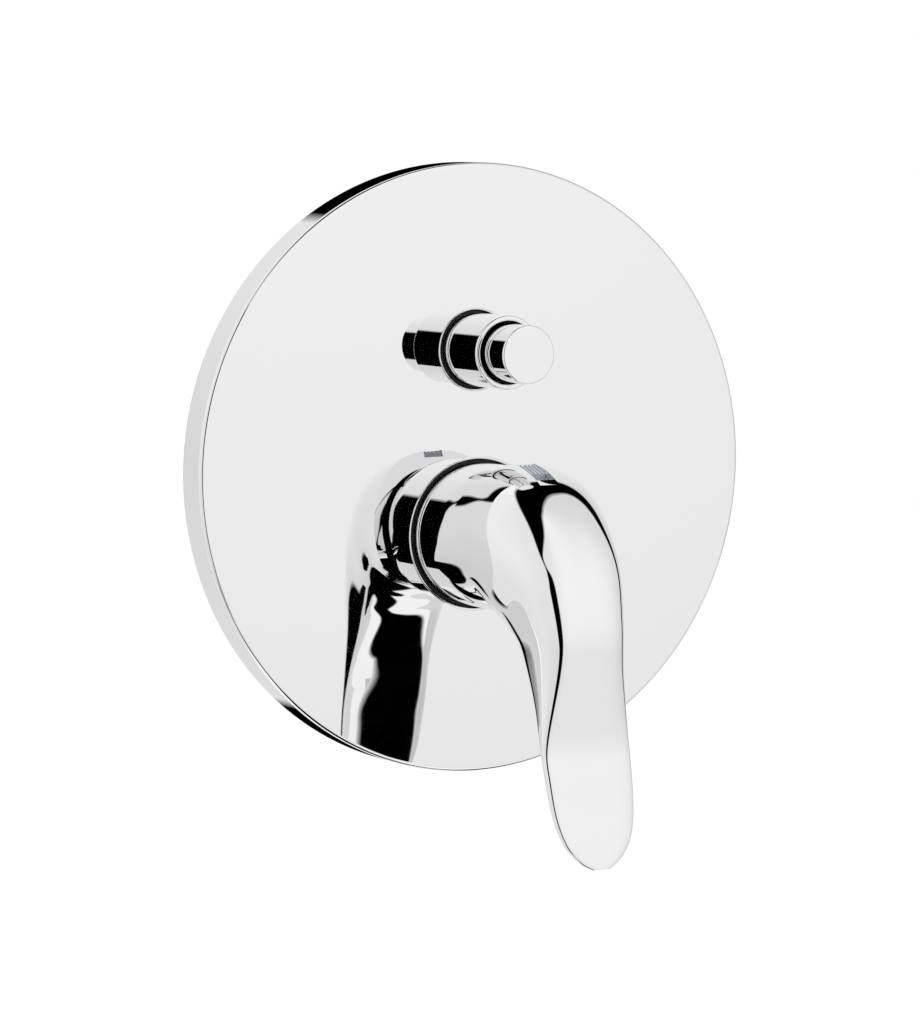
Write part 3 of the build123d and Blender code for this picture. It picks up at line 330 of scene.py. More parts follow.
ARM_STATIONS = [
    # drop, front, widest, back, inset, front squareness, back squareness
    (42.6, 38.0, 30.3, 26.8, 11.2, 5.0, 3.0),
    (54.6, 37.0, 34.0, 32.2, 10.6, 5.2, 3.0),
    (62.6, 38.3, 36.1, 34.4, 10.7, 5.0, 3.0),
    (70.6, 40.0, 38.0, 36.5, 11.2, 5.0, 3.0),
    (76.6, 41.4, 39.6, 38.1, 12.1, 4.6, 3.0),
    (81.6, 42.6, 41.0, 39.7, 13.7, 4.2, 3.0),
    (85.2, 43.4, 42.0, 40.9, 16.0, 3.6, 2.8),
    (87.8, 44.0, 42.9, 42.0, 18.8, 3.0, 2.6),
    (89.4, 44.3, 43.7, 43.1, 21.8, 2.4, 2.4),
]
FRONT_TAPER = 1.8
ROWS_PER_STATION = 14
POINTS_PER_HALF = 128
SECTION_SAMPLES = 1441
RIM_TOP_OUT = 17.7
RIM_TOP_RISE = 30.0
EAR_OUT = 4.2
EAR_DROP = 5.8
EAR_ROUND = 5.0
EAR_STEPS = 24
RIM_UNDER_OUT = 13.5
RIM_UNDER_DROP = 17.6
STEM_WIDTH = 8.1
SOCKET_END = CAVITY_RADIUS / MM + 9.9
NOTCH_WIDTH = 6.2
NOTCH_END = CAVITY_RADIUS / MM + 8.0
NOTCH_FLOOR_RISE = CAVITY_RADIUS / MM + 1.0
NOTCH_SLOPE = 11.0
# Cutters: how far the cup's one goes below the hub, its half width, and the hollow's fineness
CUP_CUT_BELOW = 4
CUP_CUT_HALF_WIDTH = 40
HOLLOW_SEGMENTS = 160
# The hollow's material, a bare casting darkened to near black as painted shade, and when a face of the cut
# lever lies on the skin or in the hollow (metres)
HOLLOW_PAINTED_SHADE = 1
NEAR_SKIN = 0.00003
SKIN_FACING = 0.8


def spline_rows(rows, steps):
    """Natural cubic spline through the rows of an array, with this many steps between two rows."""
    count = len(rows)
    system = np.eye(count)
    bends = np.zeros_like(rows)
    for i in range(1, count - 1):
        system[i, i - 1:i + 2] = (1, 4, 1)
        bends[i] = 6 * (rows[i + 1] - 2 * rows[i] + rows[i - 1])
    second = np.linalg.solve(system, bends)
    result = []
    for i in range(count - 1):
        for step in range(steps):
            t = step / steps
            u = 1 - t
            value = u * rows[i] + t * rows[i + 1]
            value = value + ((u**3 - u) * second[i] + (t**3 - t) * second[i + 1]) / 6
            result.append(value)
    result.append(rows[-1])
    return result


def lever_stations():
    """All stations as rows: out, drop, angle, front, widest, back, two half widths, two squarenesses."""
    cup = CUP_HALF_WIDTH / MM
    rows = []
    for out, angle, front, widest, back, inset, front_inset, front_square, back_square in CUP_STATIONS:
        rows.append((out, HUB_DROP, angle, cup + front, widest, back - cup,
                     cup - inset, cup - front_inset, front_square, back_square))
    for drop, front, widest, back, inset, front_square, back_square in ARM_STATIONS:
        half = cup - inset
        rows.append((HUB_OUT, drop, 0, front, widest, back, half, half, front_square, back_square))
    return np.array(rows, float)


def even_half(across, along):
    """Spreads a half section's points evenly by length and by turning, so that tight ridges stay smooth."""
    step = np.hypot(np.diff(across), np.diff(along))
    heading = np.unwrap(np.arctan2(np.diff(along), np.diff(across)))
    turning = np.concatenate([[0], np.abs(np.diff(heading))])
    measure = np.concatenate([[0], np.cumsum(step / step.sum() + turning / math.pi)])
    wanted = np.linspace(0, measure[-1], POINTS_PER_HALF + 1)[:-1]
    return np.interp(wanted, measure, across), np.interp(wanted, measure, along)


def lever_ring(row):
    """One closed ring of points of the lever's skin, metres."""
    out, drop, angle, front, widest, back, half_width, front_half, front_square, back_square = row
    fine = np.linspace(0, math.pi, SECTION_SAMPLES)
    c, s = np.cos(fine), np.sin(fine)
    sections = []
    for is_front, square in ((True, front_square), (False, back_square)):
        across = np.sign(c) * np.abs(c) ** (2 / square)
        along = np.abs(s) ** (2 / square)
        if is_front:
            x = (half_width + (front_half - half_width) * along**FRONT_TAPER) * across
            reach = widest + (front - widest) * along
        else:
            x = -half_width * across
            reach = widest + (back - widest) * along
        sections.append(even_half(x, reach))
    x = np.concatenate([sections[0][0], sections[1][0]])
    reach = np.concatenate([sections[0][1], sections[1][1]])
    turn = math.radians(angle)
    far = PIVOT_OUT / MM + out + reach * math.cos(turn)
    high = AXIS_Z / MM - drop + reach * math.sin(turn)
    return np.stack([x, -far, high], axis=1) * MM


def prism(name, side_points, half_width):
    """Cutter: a side view of (out, rise) points about the pivot, millimetres, spread across X."""
    tool = bmesh.new()
    ends = []
    for x in (-half_width, half_width):
        end = []
        for out, rise in side_points:
            end.append(tool.verts.new((x * MM, -PIVOT_OUT - out * MM, AXIS_Z + rise * MM)))
        ends.append(end)
    tool.faces.new(ends[0])
    tool.faces.new(ends[1])
    count = len(side_points)
    for i in range(count):
        after = (i + 1) % count
        tool.faces.new((ends[0][i], ends[0][after], ends[1][after], ends[1][i]))
    bmesh.ops.recalc_face_normals(tool, faces=tool.faces[:])
    mesh = bpy.data.meshes.new(name)
    tool.to_mesh(mesh)
    tool.free()
    return link(bpy.data.objects.new(name, mesh))


def rounded_ear():
    """Points of the blunt V behind which the cup is cut away: top rim, round the ear, underside."""
    top = Vector((RIM_TOP_OUT, RIM_TOP_RISE))
    ear = Vector((EAR_OUT, -EAR_DROP))
    under = Vector((RIM_UNDER_OUT, -RIM_UNDER_DROP))
    to_top = (top - ear).normalized()
    to_under = (under - ear).normalized()
    half = to_top.angle(to_under) / 2
    centre = ear + (to_top + to_under).normalized() * (EAR_ROUND / math.sin(half))
    first = ear + to_top * (EAR_ROUND / math.tan(half)) - centre
    swing = math.pi - 2 * half
    side = turn_side(first, to_top)
    points = [top]
    for step in range(EAR_STEPS + 1):
        points.append(centre + Matrix.Rotation(-swing * step / EAR_STEPS * side, 2) @ first)
    points.append(under)
    return [tuple(p) for p in points]


def turn_side(first, to_top):
    """1 where going from the top line round the ear turns clockwise in the side view, else -1."""
    return 1 if first.x * to_top.y - first.y * to_top.x > 0 else -1


def cut_away(block, cutters, name):
    """A mesh of the block without what the cutters take out of it; both are used up."""
    for cutter in cutters:
        cut = block.modifiers.new(cutter.name, "BOOLEAN")
        cut.operation = "DIFFERENCE"
        cut.solver = "EXACT"
        cut.object = cutter
    bpy.context.view_layer.update()
    evaluated = block.evaluated_get(bpy.context.evaluated_depsgraph_get())
    finished = bpy.data.meshes.new_from_object(evaluated)
    finished.name = name
    for leftover in [block] + cutters:
        bpy.data.objects.remove(leftover)
    return finished


def build_lever():
    """Dense skin through the stations, with the cup's V, its hollow, the stem's socket and the notch cut."""
    rings = [lever_ring(row) for row in spline_rows(lever_stations(), ROWS_PER_STATION)]
    around = 2 * POINTS_PER_HALF
    points = np.concatenate(rings)
    faces = [list(range(around)), list(range(len(points) - around, len(points)))]
    for row in range(len(rings) - 1):
        first = row * around
        second = first + around
        for i in range(around):
            after = (i + 1) % around
            faces.append([first + i, first + after, second + after, second + i])
    mesh = bpy.data.meshes.new("lever_skin")
    mesh.from_pydata(points.tolist(), [], faces)
    shape = bmesh.new()
    shape.from_mesh(mesh)
    bmesh.ops.recalc_face_normals(shape, faces=shape.faces[:])
    shape.to_mesh(mesh)
    shape.free()
    skin = link(bpy.data.objects.new("lever_skin", mesh))

    behind = -PIVOT_OUT / MM
    below = -HUB_DROP - CUP_CUT_BELOW
    cup_cut = rounded_ear() + [(RIM_UNDER_OUT, below), (behind, below), (behind, RIM_TOP_RISE)]
    floor_end = NOTCH_FLOOR_RISE - NOTCH_END * math.tan(math.radians(NOTCH_SLOPE))
    notch = [(0, NOTCH_FLOOR_RISE), (NOTCH_END, floor_end), (NOTCH_END, RIM_TOP_RISE), (0, RIM_TOP_RISE)]
    half_stem = STEM_WIDTH / 2
    socket = [(0, -half_stem), (SOCKET_END, -half_stem), (SOCKET_END, half_stem), (0, half_stem)]
    cutters = [
        prism("cup_cutter", cup_cut, CUP_CUT_HALF_WIDTH),
        prism("notch_cutter", notch, NOTCH_WIDTH / 2),
        prism("socket_cutter", socket, half_stem),
    ]
    ball = bmesh.new()
    bmesh.ops.create_uvsphere(ball, u_segments=HOLLOW_SEGMENTS, v_segments=HOLLOW_SEGMENTS // 2,
                              radius=CAVITY_RADIUS)
    bmesh.ops.translate(ball, verts=ball.verts[:], vec=(0, -PIVOT_OUT, AXIS_Z))
    ball_mesh = bpy.data.meshes.new("cavity_cutter")
    ball.to_mesh(ball_mesh)
    ball.free()
    cutters.append(link(bpy.data.objects.new("cavity_cutter", ball_mesh)))
    finished = cut_away(skin, cutters, "lever_polished")
    smooth_cut_skin(finished, mesh)
    return link(bpy.data.objects.new("lever_polished", finished))


def smooth_cut_skin(finished, skin):
    """Gives the cut lever the uncut skin's normals, round ones in its hollow and flat ones on the cuts."""
    places = [v.co.copy() for v in skin.vertices]
    skin_normals = [v.normal.copy() for v in skin.vertices]
    quads = [tuple(p.vertices) for p in skin.polygons]
    tree = BVHTree.FromPolygons(places, quads)
    centre = Vector((0, -PIVOT_OUT, AXIS_Z))
    known = {}

    def skin_normal(index):
        if index not in known:
            place, _, quad, _ = tree.find_nearest(finished.vertices[index].co)
            corners = quads[quad]
            weights = poly_3d_calc([places[i] for i in corners], place)
            total = Vector((0, 0, 0))
            for weight, i in zip(weights, corners):
                total += weight * skin_normals[i]
            known[index] = total.normalized()
        return known[index]

    normals = [None] * len(finished.loops)
    for polygon in finished.polygons:
        _, facing, _, distance = tree.find_nearest(polygon.center)
        on_skin = distance < NEAR_SKIN and facing.dot(polygon.normal) > SKIN_FACING
        in_hollow = abs((polygon.center - centre).length - CAVITY_RADIUS) < NEAR_SKIN
        for loop in polygon.loop_indices:
            index = finished.loops[loop].vertex_index
            if on_skin:
                normals[loop] = skin_normal(index)
            elif in_hollow:
                normals[loop] = (centre - finished.vertices[index].co).normalized()
            else:
                normals[loop] = polygon.normal.copy()
        # Faces in the hollow get the near-black painted shade
        polygon.material_index = HOLLOW_PAINTED_SHADE if in_hollow and not on_skin else 0
    finished.polygons.foreach_set("use_smooth", [True] * len(finished.polygons))
    finished.normals_split_custom_set(normals)


# Pipe thread of the four ports, and the milled length of their bosses
THREAD_PITCH = 1.814 * MM
THREAD_DEPTH = 1.05 * MM
THREAD_STEPS = 48
THREAD_OVERLAP = 0.12 * MM
BOSS_LENGTH = 18.0 * MM
BOSS_SLACK = 0.1 * MM
BOSS_REACH = 16.0 * MM
# Shares of the pitch: half the groove's opening, its start outside the mouth, what is left at the end
GROOVE_HALF = 0.43
GROOVE_LEAD = 0.4
GROOVE_STOP = 0.5
# The bosses' finish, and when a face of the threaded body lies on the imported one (metres)
MILLED_FINISH = 1
NEAR_PACKED = 0.00002
PACKED_FACING = 0.9
WELD_DISTANCE = 0.000001


def thread_cutter(mount):
    """Closed helical V groove along a port's bore, from just outside its mouth to near its end."""
    mouth = Vector(mount["pos_m"])
    axis = Vector(mount["axis"]).normalized()
    across = axis.orthogonal().normalized()
    up = axis.cross(across)
    bore = mount["dims"]["r_mm"] * MM
    length = mount["dims"]["length_mm"] * MM
    turns = (length - GROOVE_STOP * THREAD_PITCH) / THREAD_PITCH
    half = GROOVE_HALF * THREAD_PITCH
    inside = bore - THREAD_OVERLAP
    section = ((inside, -half), (inside, half), (bore + THREAD_DEPTH, 0.0))
    count = int(turns * THREAD_STEPS)
    tool = bmesh.new()
    rings = []
    for step in range(count + 1):
        angle = 2 * math.pi * step / THREAD_STEPS
        radial = math.cos(angle) * across + math.sin(angle) * up
        depth = THREAD_PITCH * (step / THREAD_STEPS - GROOVE_LEAD)
        ring = []
        for reach, along in section:
            ring.append(tool.verts.new(mouth - axis * (depth + along) + radial * reach))
        rings.append(ring)
    corners = len(section)
    for first, second in zip(rings, rings[1:]):
        for i in range(corners):
            after = (i + 1) % corners
            tool.faces.new((first[i], first[after], second[after], second[i]))
    tool.faces.new(rings[0])
    tool.faces.new(rings[-1])
    bmesh.ops.recalc_face_normals(tool, faces=tool.faces[:])
    mesh = bpy.data.meshes.new("thread_cutter")
    tool.to_mesh(mesh)
    tool.free()
    return link(bpy.data.objects.new("thread_cutter_" + mount["name"], mesh))


def dress_body(finished, packed, ports):
    """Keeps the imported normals, rounds those of the threads about their ports, marks the milled bosses."""
    places = [v.co for v in packed.vertices]
    tree = BVHTree.FromPolygons(places, [tuple(p.vertices) for p in packed.polygons])
    normals = [None] * len(finished.loops)
    for polygon in finished.polygons:
        port = min(ports, key=lambda mount: (polygon.center - Vector(mount["pos_m"])).length)
        axis = Vector(port["axis"])
        mouth = Vector(port["pos_m"])
        offset = polygon.center - mouth
        depth = -offset.dot(axis)
        radial = offset + depth * axis
        milled = depth < BOSS_LENGTH + BOSS_SLACK and radial.length < BOSS_REACH
        polygon.material_index = MILLED_FINISH if milled else 0
        _, facing, found, distance = tree.find_nearest(polygon.center)
        as_packed = distance < NEAR_PACKED and facing.dot(polygon.normal) > PACKED_FACING
        along = polygon.normal.dot(axis)
        outwards = polygon.normal.dot(radial.normalized())
        for loop in polygon.loop_indices:
            place = finished.vertices[finished.loops[loop].vertex_index].co
            if as_packed:
                source = packed.polygons[found]
                corners = [packed.vertices[i].co for i in source.vertices]
                total = Vector((0, 0, 0))
                for weight, corner in zip(poly_3d_calc(corners, place), source.loop_indices):
                    total += weight * packed.corner_normals[corner].vector
                normals[loop] = total.normalized()
            else:
                reach = place - mouth
                reach -= reach.dot(axis) * axis
                normals[loop] = (along * axis + outwards * reach.normalized()).normalized()
    finished.polygons.foreach_set("use_smooth", [True] * len(finished.polygons))
    finished.normals_split_custom_set(normals)


def build_body():
    """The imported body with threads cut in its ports; the bosses are milled, the rest is as cast."""
    ports = [mount for mount in frame["record"]["mounts"] if mount["kind"] == "threaded_hole"]
    mesh = NODES["mixer_body"].data.copy()
    shape = bmesh.new()
    shape.from_mesh(mesh)
    bmesh.ops.remove_doubles(shape, verts=shape.verts[:], dist=WELD_DISTANCE)
    shape.to_mesh(mesh)
    shape.free()
    block = link(bpy.data.objects.new("body_block", mesh))
    finished = cut_away(block, [thread_cutter(mount) for mount in ports], "body_threaded")
    dress_body(finished, NODES["mixer_body"].data, ports)
    return link(bpy.data.objects.new("body_threaded", finished))


def build_spring():
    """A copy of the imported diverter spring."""
    return link(bpy.data.objects.new("spring_coil", NODES["diverter_spring"].data.copy()))


def shorten_spring(coil):
    """Gives the coil a mesh of its own; it is not shortened."""
    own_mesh(coil)


# Range in which most of a noise pattern's values lie
NOISE_RANGE = (0.3, 0.7)


def material(name, colour, metallic=0.0, roughness=0.5):
    """A Principled material with its constants on the shader's own sockets."""
    made = bpy.data.materials.new(name)
    made.use_nodes = True
    shader = made.node_tree.nodes["Principled BSDF"]
    shader.inputs["Base Color"].default_value = (*colour, 1)
    shader.inputs["Metallic"].default_value = metallic
    shader.inputs["Roughness"].default_value = roughness
    return made


def noise(made, scale, detail=4.0, stretch=(1, 1, 1)):
    """Noise in the object's own coordinates, stretched along the axes; returns its factor socket."""
    nodes, links = made.node_tree.nodes, made.node_tree.links
    place = nodes.new("ShaderNodeTexCoord")
    mapping = nodes.new("ShaderNodeMapping")
    mapping.inputs["Scale"].default_value = stretch
    pattern = nodes.new("ShaderNodeTexNoise")
    pattern.inputs["Scale"].default_value = scale
    pattern.inputs["Detail"].default_value = detail
    links.new(place.outputs["Object"], mapping.inputs["Vector"])
    links.new(mapping.outputs["Vector"], pattern.inputs["Vector"])
    return pattern.outputs["Fac"]


def spread(made, factor, low, high):
    """Maps a noise pattern onto the range low to high."""
    mapped = made.node_tree.nodes.new("ShaderNodeMapRange")
    mapped.inputs["From Min"].default_value = NOISE_RANGE[0]
    mapped.inputs["From Max"].default_value = NOISE_RANGE[1]
    mapped.inputs["To Min"].default_value = low
    mapped.inputs["To Max"].default_value = high
    made.node_tree.links.new(factor, mapped.inputs["Value"])
    return mapped.outputs["Result"]


def vary_roughness(made, factor, low, high):
    shader = made.node_tree.nodes["Principled BSDF"]
    made.node_tree.links.new(spread(made, factor, low, high), shader.inputs["Roughness"])


def vary_colour(made, factor, dark, light):
    nodes, links = made.node_tree.nodes, made.node_tree.links
    mix = nodes.new("ShaderNodeMix")
    mix.data_type = "RGBA"
    mix.inputs["A"].default_value = (*dark, 1)
    mix.inputs["B"].default_value = (*light, 1)
    links.new(spread(made, factor, 0, 1), mix.inputs["Factor"])
    links.new(mix.outputs["Result"], nodes["Principled BSDF"].inputs["Base Color"])


def add_bump(made, factor, strength, distance):
    nodes, links = made.node_tree.nodes, made.node_tree.links
    bump = nodes.new("ShaderNodeBump")
    bump.inputs["Strength"].default_value = strength
    bump.inputs["Distance"].default_value = distance
    links.new(factor, bump.inputs["Height"])
    links.new(bump.outputs["Normal"], nodes["Principled BSDF"].inputs["Normal"])


def make_materials():
    """One finish for each slot of the record, and the two that only scene pieces have: the plate's plated
    inside and the lever hollow's painted shade.
    """
    chrome = material("polished_chrome", (0.90, 0.90, 0.905), metallic=1.0)
    vary_roughness(chrome, noise(chrome, 60, stretch=(1, 1, 6)), 0.012, 0.03)

    dull = material("plated_inside", (0.62, 0.62, 0.63), metallic=1.0)
    vary_colour(dull, noise(dull, 40), (0.55, 0.55, 0.56), (0.68, 0.68, 0.69))
    vary_roughness(dull, noise(dull, 160), 0.3, 0.42)

    cast = material("cast_brass", (0.62, 0.45, 0.21), metallic=1.0)
    vary_colour(cast, noise(cast, 160, detail=8), (0.54, 0.39, 0.18), (0.70, 0.52, 0.26))
    vary_roughness(cast, noise(cast, 120), 0.4, 0.6)
    add_bump(cast, noise(cast, 650, detail=8), 0.55, 0.0004)

    turned = material("turned_brass", (0.78, 0.60, 0.30), metallic=1.0)
    vary_colour(turned, noise(turned, 60), (0.72, 0.54, 0.26), (0.82, 0.65, 0.34))
    vary_roughness(turned, noise(turned, 220, stretch=(1, 12, 1)), 0.14, 0.3)
    add_bump(turned, noise(turned, 500, stretch=(1, 14, 1)), 0.08, 0.0001)

    # Black nickel plating, partly real and partly painted shade: made near black so that the gap round the
    # diverter knob reads as shade
    nickel_painted_gap_shade = material("black_nickel", (0.045, 0.045, 0.05), metallic=1.0)
    vary_roughness(nickel_painted_gap_shade, noise(nickel_painted_gap_shade, 220, stretch=(1, 12, 1)), 0.2, 0.35)

    rubber = material("black_rubber", (0.018, 0.018, 0.019))
    vary_roughness(rubber, noise(rubber, 400), 0.5, 0.75)
    add_bump(rubber, noise(rubber, 1500), 0.25, 0.0001)

    foam = material("gasket_foam", (0.05, 0.05, 0.053))
    vary_colour(foam, noise(foam, 700), (0.035, 0.035, 0.037), (0.07, 0.07, 0.073))
    vary_roughness(foam, noise(foam, 300), 0.75, 0.95)
    add_bump(foam, noise(foam, 1200, detail=6), 0.6, 0.0003)

    white = material("white_moulding", (0.80, 0.81, 0.80))
    vary_roughness(white, noise(white, 250), 0.34, 0.48)
    add_bump(white, noise(white, 1100), 0.12, 0.0001)

    blue = material("blue_grey_moulding", (0.09, 0.12, 0.17))
    vary_roughness(blue, noise(blue, 250), 0.34, 0.5)
    add_bump(blue, noise(blue, 1100), 0.12, 0.0001)

    # Lever's hollow: bare casting, darkened to near black as painted shade inside the cup
    hollow = material("lever_hollow_painted_shade", (0.05, 0.042, 0.034), metallic=0.6)
    vary_colour(hollow, noise(hollow, 260), (0.03, 0.026, 0.022), (0.10, 0.078, 0.058))
    vary_roughness(hollow, noise(hollow, 300), 0.4, 0.6)
    add_bump(hollow, noise(hollow, 1300, detail=6), 0.35, 0.0002)

    grey = material("grey_plug_moulding", (0.46, 0.48, 0.51))
    vary_roughness(grey, noise(grey, 300), 0.36, 0.52)
    add_bump(grey, noise(grey, 1400), 0.12, 0.0001)

    ceramic = material("lapped_ceramic", (0.86, 0.85, 0.80))
    vary_roughness(ceramic, noise(ceramic, 90), 0.1, 0.2)

    steel = material("plain_steel", (0.56, 0.56, 0.57), metallic=1.0)
    vary_roughness(steel, noise(steel, 300, stretch=(1, 8, 1)), 0.2, 0.36)
    return {
        "chrome": chrome,
        "brass_casting": cast,
        "brass_turned": turned,
        "black_nickel": nickel_painted_gap_shade,
        "black_rubber": rubber,
        "grey_gasket": foam,
        "white_plastic": white,
        "blue_grey_plastic": blue,
        "grey_plug": grey,
        "ceramic": ceramic,
        "steel": steel,
        "hollow": hollow,
        "inside": dull,
    }


def give(obj, *finishes):
    """Sets the finishes of a piece and keeps which of them each face has."""
    count = len(obj.data.polygons)
    chosen = np.zeros(count, dtype=np.int32)
    obj.data.polygons.foreach_get("material_index", chosen)
    obj.data.materials.clear()
    for made in finishes:
        obj.data.materials.append(made)
    obj.data.polygons.foreach_set("material_index", np.minimum(chosen, len(finishes) - 1))


# World light, and the floor: its height and reach, colour, and how much plain white is seen in it
WORLD_STRENGTH = 0.55
FLOOR_Z = -1.3
FLOOR_REACH = 12.0
FLOOR_COLOUR = (0.9, 0.9, 0.9, 1)
FLOOR_ROUGHNESS = 0.9
FLOOR_GLOW = 1.15
FLOOR_GLOW_SHARE = 0.8


def shown_to_background(nodes, links):
    """1 for camera, glossy and transmission rays, which see the plain white background."""
    rays = nodes.new("ShaderNodeLightPath")
    total = None
    for name in ("Is Camera Ray", "Is Glossy Ray", "Is Transmission Ray"):
        if total is None:
            total = rays.outputs[name]
            continue
        larger = nodes.new("ShaderNodeMath")
        larger.operation = "MAXIMUM"
        links.new(total, larger.inputs[0])
        links.new(rays.outputs[name], larger.inputs[1])
        total = larger.outputs[0]
    return total


def make_world():
    world = bpy.data.worlds.new("studio")
    bpy.context.scene.world = world
    world.use_nodes = True
    nodes, links = world.node_tree.nodes, world.node_tree.links
    fill = nodes["Background"]
    fill.inputs["Color"].default_value = (1, 1, 1, 1)
    fill.inputs["Strength"].default_value = WORLD_STRENGTH
    plain = nodes.new("ShaderNodeBackground")
    plain.inputs["Color"].default_value = (1, 1, 1, 1)
    plain.inputs["Strength"].default_value = 1.0
    mix = nodes.new("ShaderNodeMixShader")
    links.new(shown_to_background(nodes, links), mix.inputs["Fac"])
    links.new(fill.outputs[0], mix.inputs[1])
    links.new(plain.outputs[0], mix.inputs[2])
    links.new(mix.outputs[0], nodes["World Output"].inputs["Surface"])


def make_floor():
    """Pale floor: lit like any surface, and seen white, with the object's shadow left in it."""
    mesh = bpy.data.meshes.new("floor")
    corners = []
    for x, y in ((-1, -1), (1, -1), (1, 1), (-1, 1)):
        corners.append((x * FLOOR_REACH, y * FLOOR_REACH, FLOOR_Z))
    mesh.from_pydata(corners, [], [(0, 1, 2, 3)])
    floor = link(bpy.data.objects.new("floor", mesh))
    made = bpy.data.materials.new("floor_white")
    made.use_nodes = True
    nodes, links = made.node_tree.nodes, made.node_tree.links
    lit = nodes["Principled BSDF"]
    lit.inputs["Base Color"].default_value = FLOOR_COLOUR
    lit.inputs["Roughness"].default_value = FLOOR_ROUGHNESS
    lit.inputs["Specular IOR Level"].default_value = 0.0
    glow = nodes.new("ShaderNodeEmission")
    glow.inputs["Strength"].default_value = FLOOR_GLOW
    seen = nodes.new("ShaderNodeMixShader")
    seen.inputs["Fac"].default_value = FLOOR_GLOW_SHARE
    links.new(lit.outputs[0], seen.inputs[1])
    links.new(glow.outputs[0], seen.inputs[2])
    mix = nodes.new("ShaderNodeMixShader")
    links.new(shown_to_background(nodes, links), mix.inputs["Fac"])
    links.new(lit.outputs[0], mix.inputs[1])
    links.new(seen.outputs[0], mix.inputs[2])
    links.new(mix.outputs[0], nodes["Material Output"].inputs["Surface"])
    give(floor, made)


def toward(azimuth, elevation):
    """Unit vector from the object; azimuth 0 is in front of the plate, 90 on its left, 180 behind it."""
    a, e = math.radians(azimuth), math.radians(elevation)
    return Vector((-math.sin(a) * math.cos(e), -math.cos(a) * math.cos(e), math.sin(e)))


# Studio cards stand round this point: dark bands nearer, pale panels behind them
CARD_CENTRE = Vector((0, -0.03, -0.02))
CARD_DISTANCE = 1.2
PANEL_DISTANCE = 1.4
BAND_STEPS = 6
PANEL_ROWS = 13
PANEL_COLUMNS = 49


def card_material():
    """Plain light of the shade that each corner of a studio card carries."""
    made = bpy.data.materials.new("studio_card")
    made.use_nodes = True
    nodes, links = made.node_tree.nodes, made.node_tree.links
    nodes.remove(nodes["Principled BSDF"])
    shade = nodes.new("ShaderNodeVertexColor")
    shade.layer_name = "shade"
    glow = nodes.new("ShaderNodeEmission")
    links.new(shade.outputs["Color"], glow.inputs["Color"])
    links.new(glow.outputs[0], nodes["Material Output"].inputs["Surface"])
    return made


def add_card(name, made, rows, distance=CARD_DISTANCE):
    """Studio card that only the polished metal sees: rows of (direction, shade) corners, in a grid."""
    across = len(rows[0])
    points = [CARD_CENTRE + direction * distance for row in rows for direction, _ in row]
    faces = []
    for i in range(len(rows) - 1):
        for j in range(across - 1):
            first = i * across + j
            faces.append((first, first + 1, first + across + 1, first + across))
    mesh = bpy.data.meshes.new(name)
    mesh.from_pydata(points, [], faces)
    shades = mesh.color_attributes.new("shade", "FLOAT_COLOR", "POINT")
    for i, shade in enumerate(shade for row in rows for _, shade in row):
        shades.data[i].color = (*shade, 1)
    card = link(bpy.data.objects.new(name, mesh))
    give(card, made)
    card.visible_camera = False
    card.visible_diffuse = False
    card.visible_shadow = False
    card.visible_transmission = False


def add_band(name, made, stations, edges):
    """Dark cloth through (azimuth, elevation, half width) stations, with (degrees beyond, shade) edges."""
    path = spline_rows(np.array([[*toward(a, e), half] for a, e, half in stations]), BAND_STEPS)
    rows = []
    for i, row in enumerate(path):
        middle = Vector(row[:3]).normalized()
        ahead = Vector(path[min(i + 1, len(path) - 1)][:3]) - Vector(path[max(i - 1, 0)][:3])
        side = ahead.cross(middle).normalized()
        corners = []
        for beyond, shade in edges:
            turn = math.radians(math.copysign(row[3], beyond) + beyond)
            corners.append((math.cos(turn) * middle + math.sin(turn) * side, (shade, shade, shade)))
        rows.append(corners)
    add_card(name, made, rows)


def add_panel(name, made, turns, stops):
    """Pale wall of cloth: (azimuth, strength) turns round it, (elevation, shade) stops from foot to top."""
    azimuths, strengths = zip(*turns)
    elevations, shades = zip(*stops)
    rows = []
    for elevation in np.linspace(elevations[0], elevations[-1], PANEL_ROWS):
        level = np.interp(elevation, elevations, shades)
        row = []
        for azimuth in np.linspace(azimuths[0], azimuths[-1], PANEL_COLUMNS):
            shade = float(level * np.interp(azimuth, azimuths, strengths))
            row.append((toward(azimuth, elevation), (shade, shade, shade)))
        rows.append(row)
    add_card(name, made, rows, PANEL_DISTANCE)


def add_lamp(name, azimuth, elevation, distance, size, power):
    """Soft square lamp that the polished metal doesn't mirror."""
    data = bpy.data.lights.new(name, "AREA")
    data.size = size
    data.energy = power
    lamp = link(bpy.data.objects.new(name, data))
    direction = toward(azimuth, elevation)
    lamp.location = CARD_CENTRE + direction * distance
    lamp.rotation_mode = "QUATERNION"
    lamp.rotation_quaternion = direction.to_track_quat("Z", "Y")
    lamp.visible_glossy = False


# Dark cloth seen in the polished metal: azimuth, elevation and half width of each stretch, in degrees
CAMERA_BAND = [
    # on the camera's side, from low in front of the sleeve upwards
    (17, -25, 4), (21, -19, 7), (22, -8, 8), (26, 5, 10), (28, 17, 10), (31, 25, 6), (39, 33, 0.8),
    (47, 40, 1.5), (50, 48, 5), (48, 58, 8), (45, 70, 11),
    # overhead, and down on the right
    (50, 84, 12), (-125, 84, 12), (-120, 71, 8), (-122, 58, 6), (-114, 46, 5), (-107, 32, 5), (-105, 20, 5),
    (-102, 0, 5), (-100, -15, 5),
]
BEHIND_BAND = [(-160, -35, 9), (-160, 0, 12), (-160, 40, 10)]
FLOOR_BAND = [
    # on the camera's side, what the cup's lower rim mirrors, and downwards
    (54, -27, 3), (46, -32, 4.5), (34, -40, 7), (20, -47, 11), (20, -62, 12), (20, -80, 14),
    # under the part, and up behind it on the right
    (-118, -79, 11), (-108, -64, 9), (-119, -53, 9), (-134, -43, 7), (-146, -34, 6.5), (-152, -28, 6),
]
# Edges of the cloth: degrees beyond its half width, left and right, and the shade there
SOFT_EDGES = [(-3.0, 0.9), (-0.01, 0.0), (0.01, 0.0), (3.0, 0.9)]
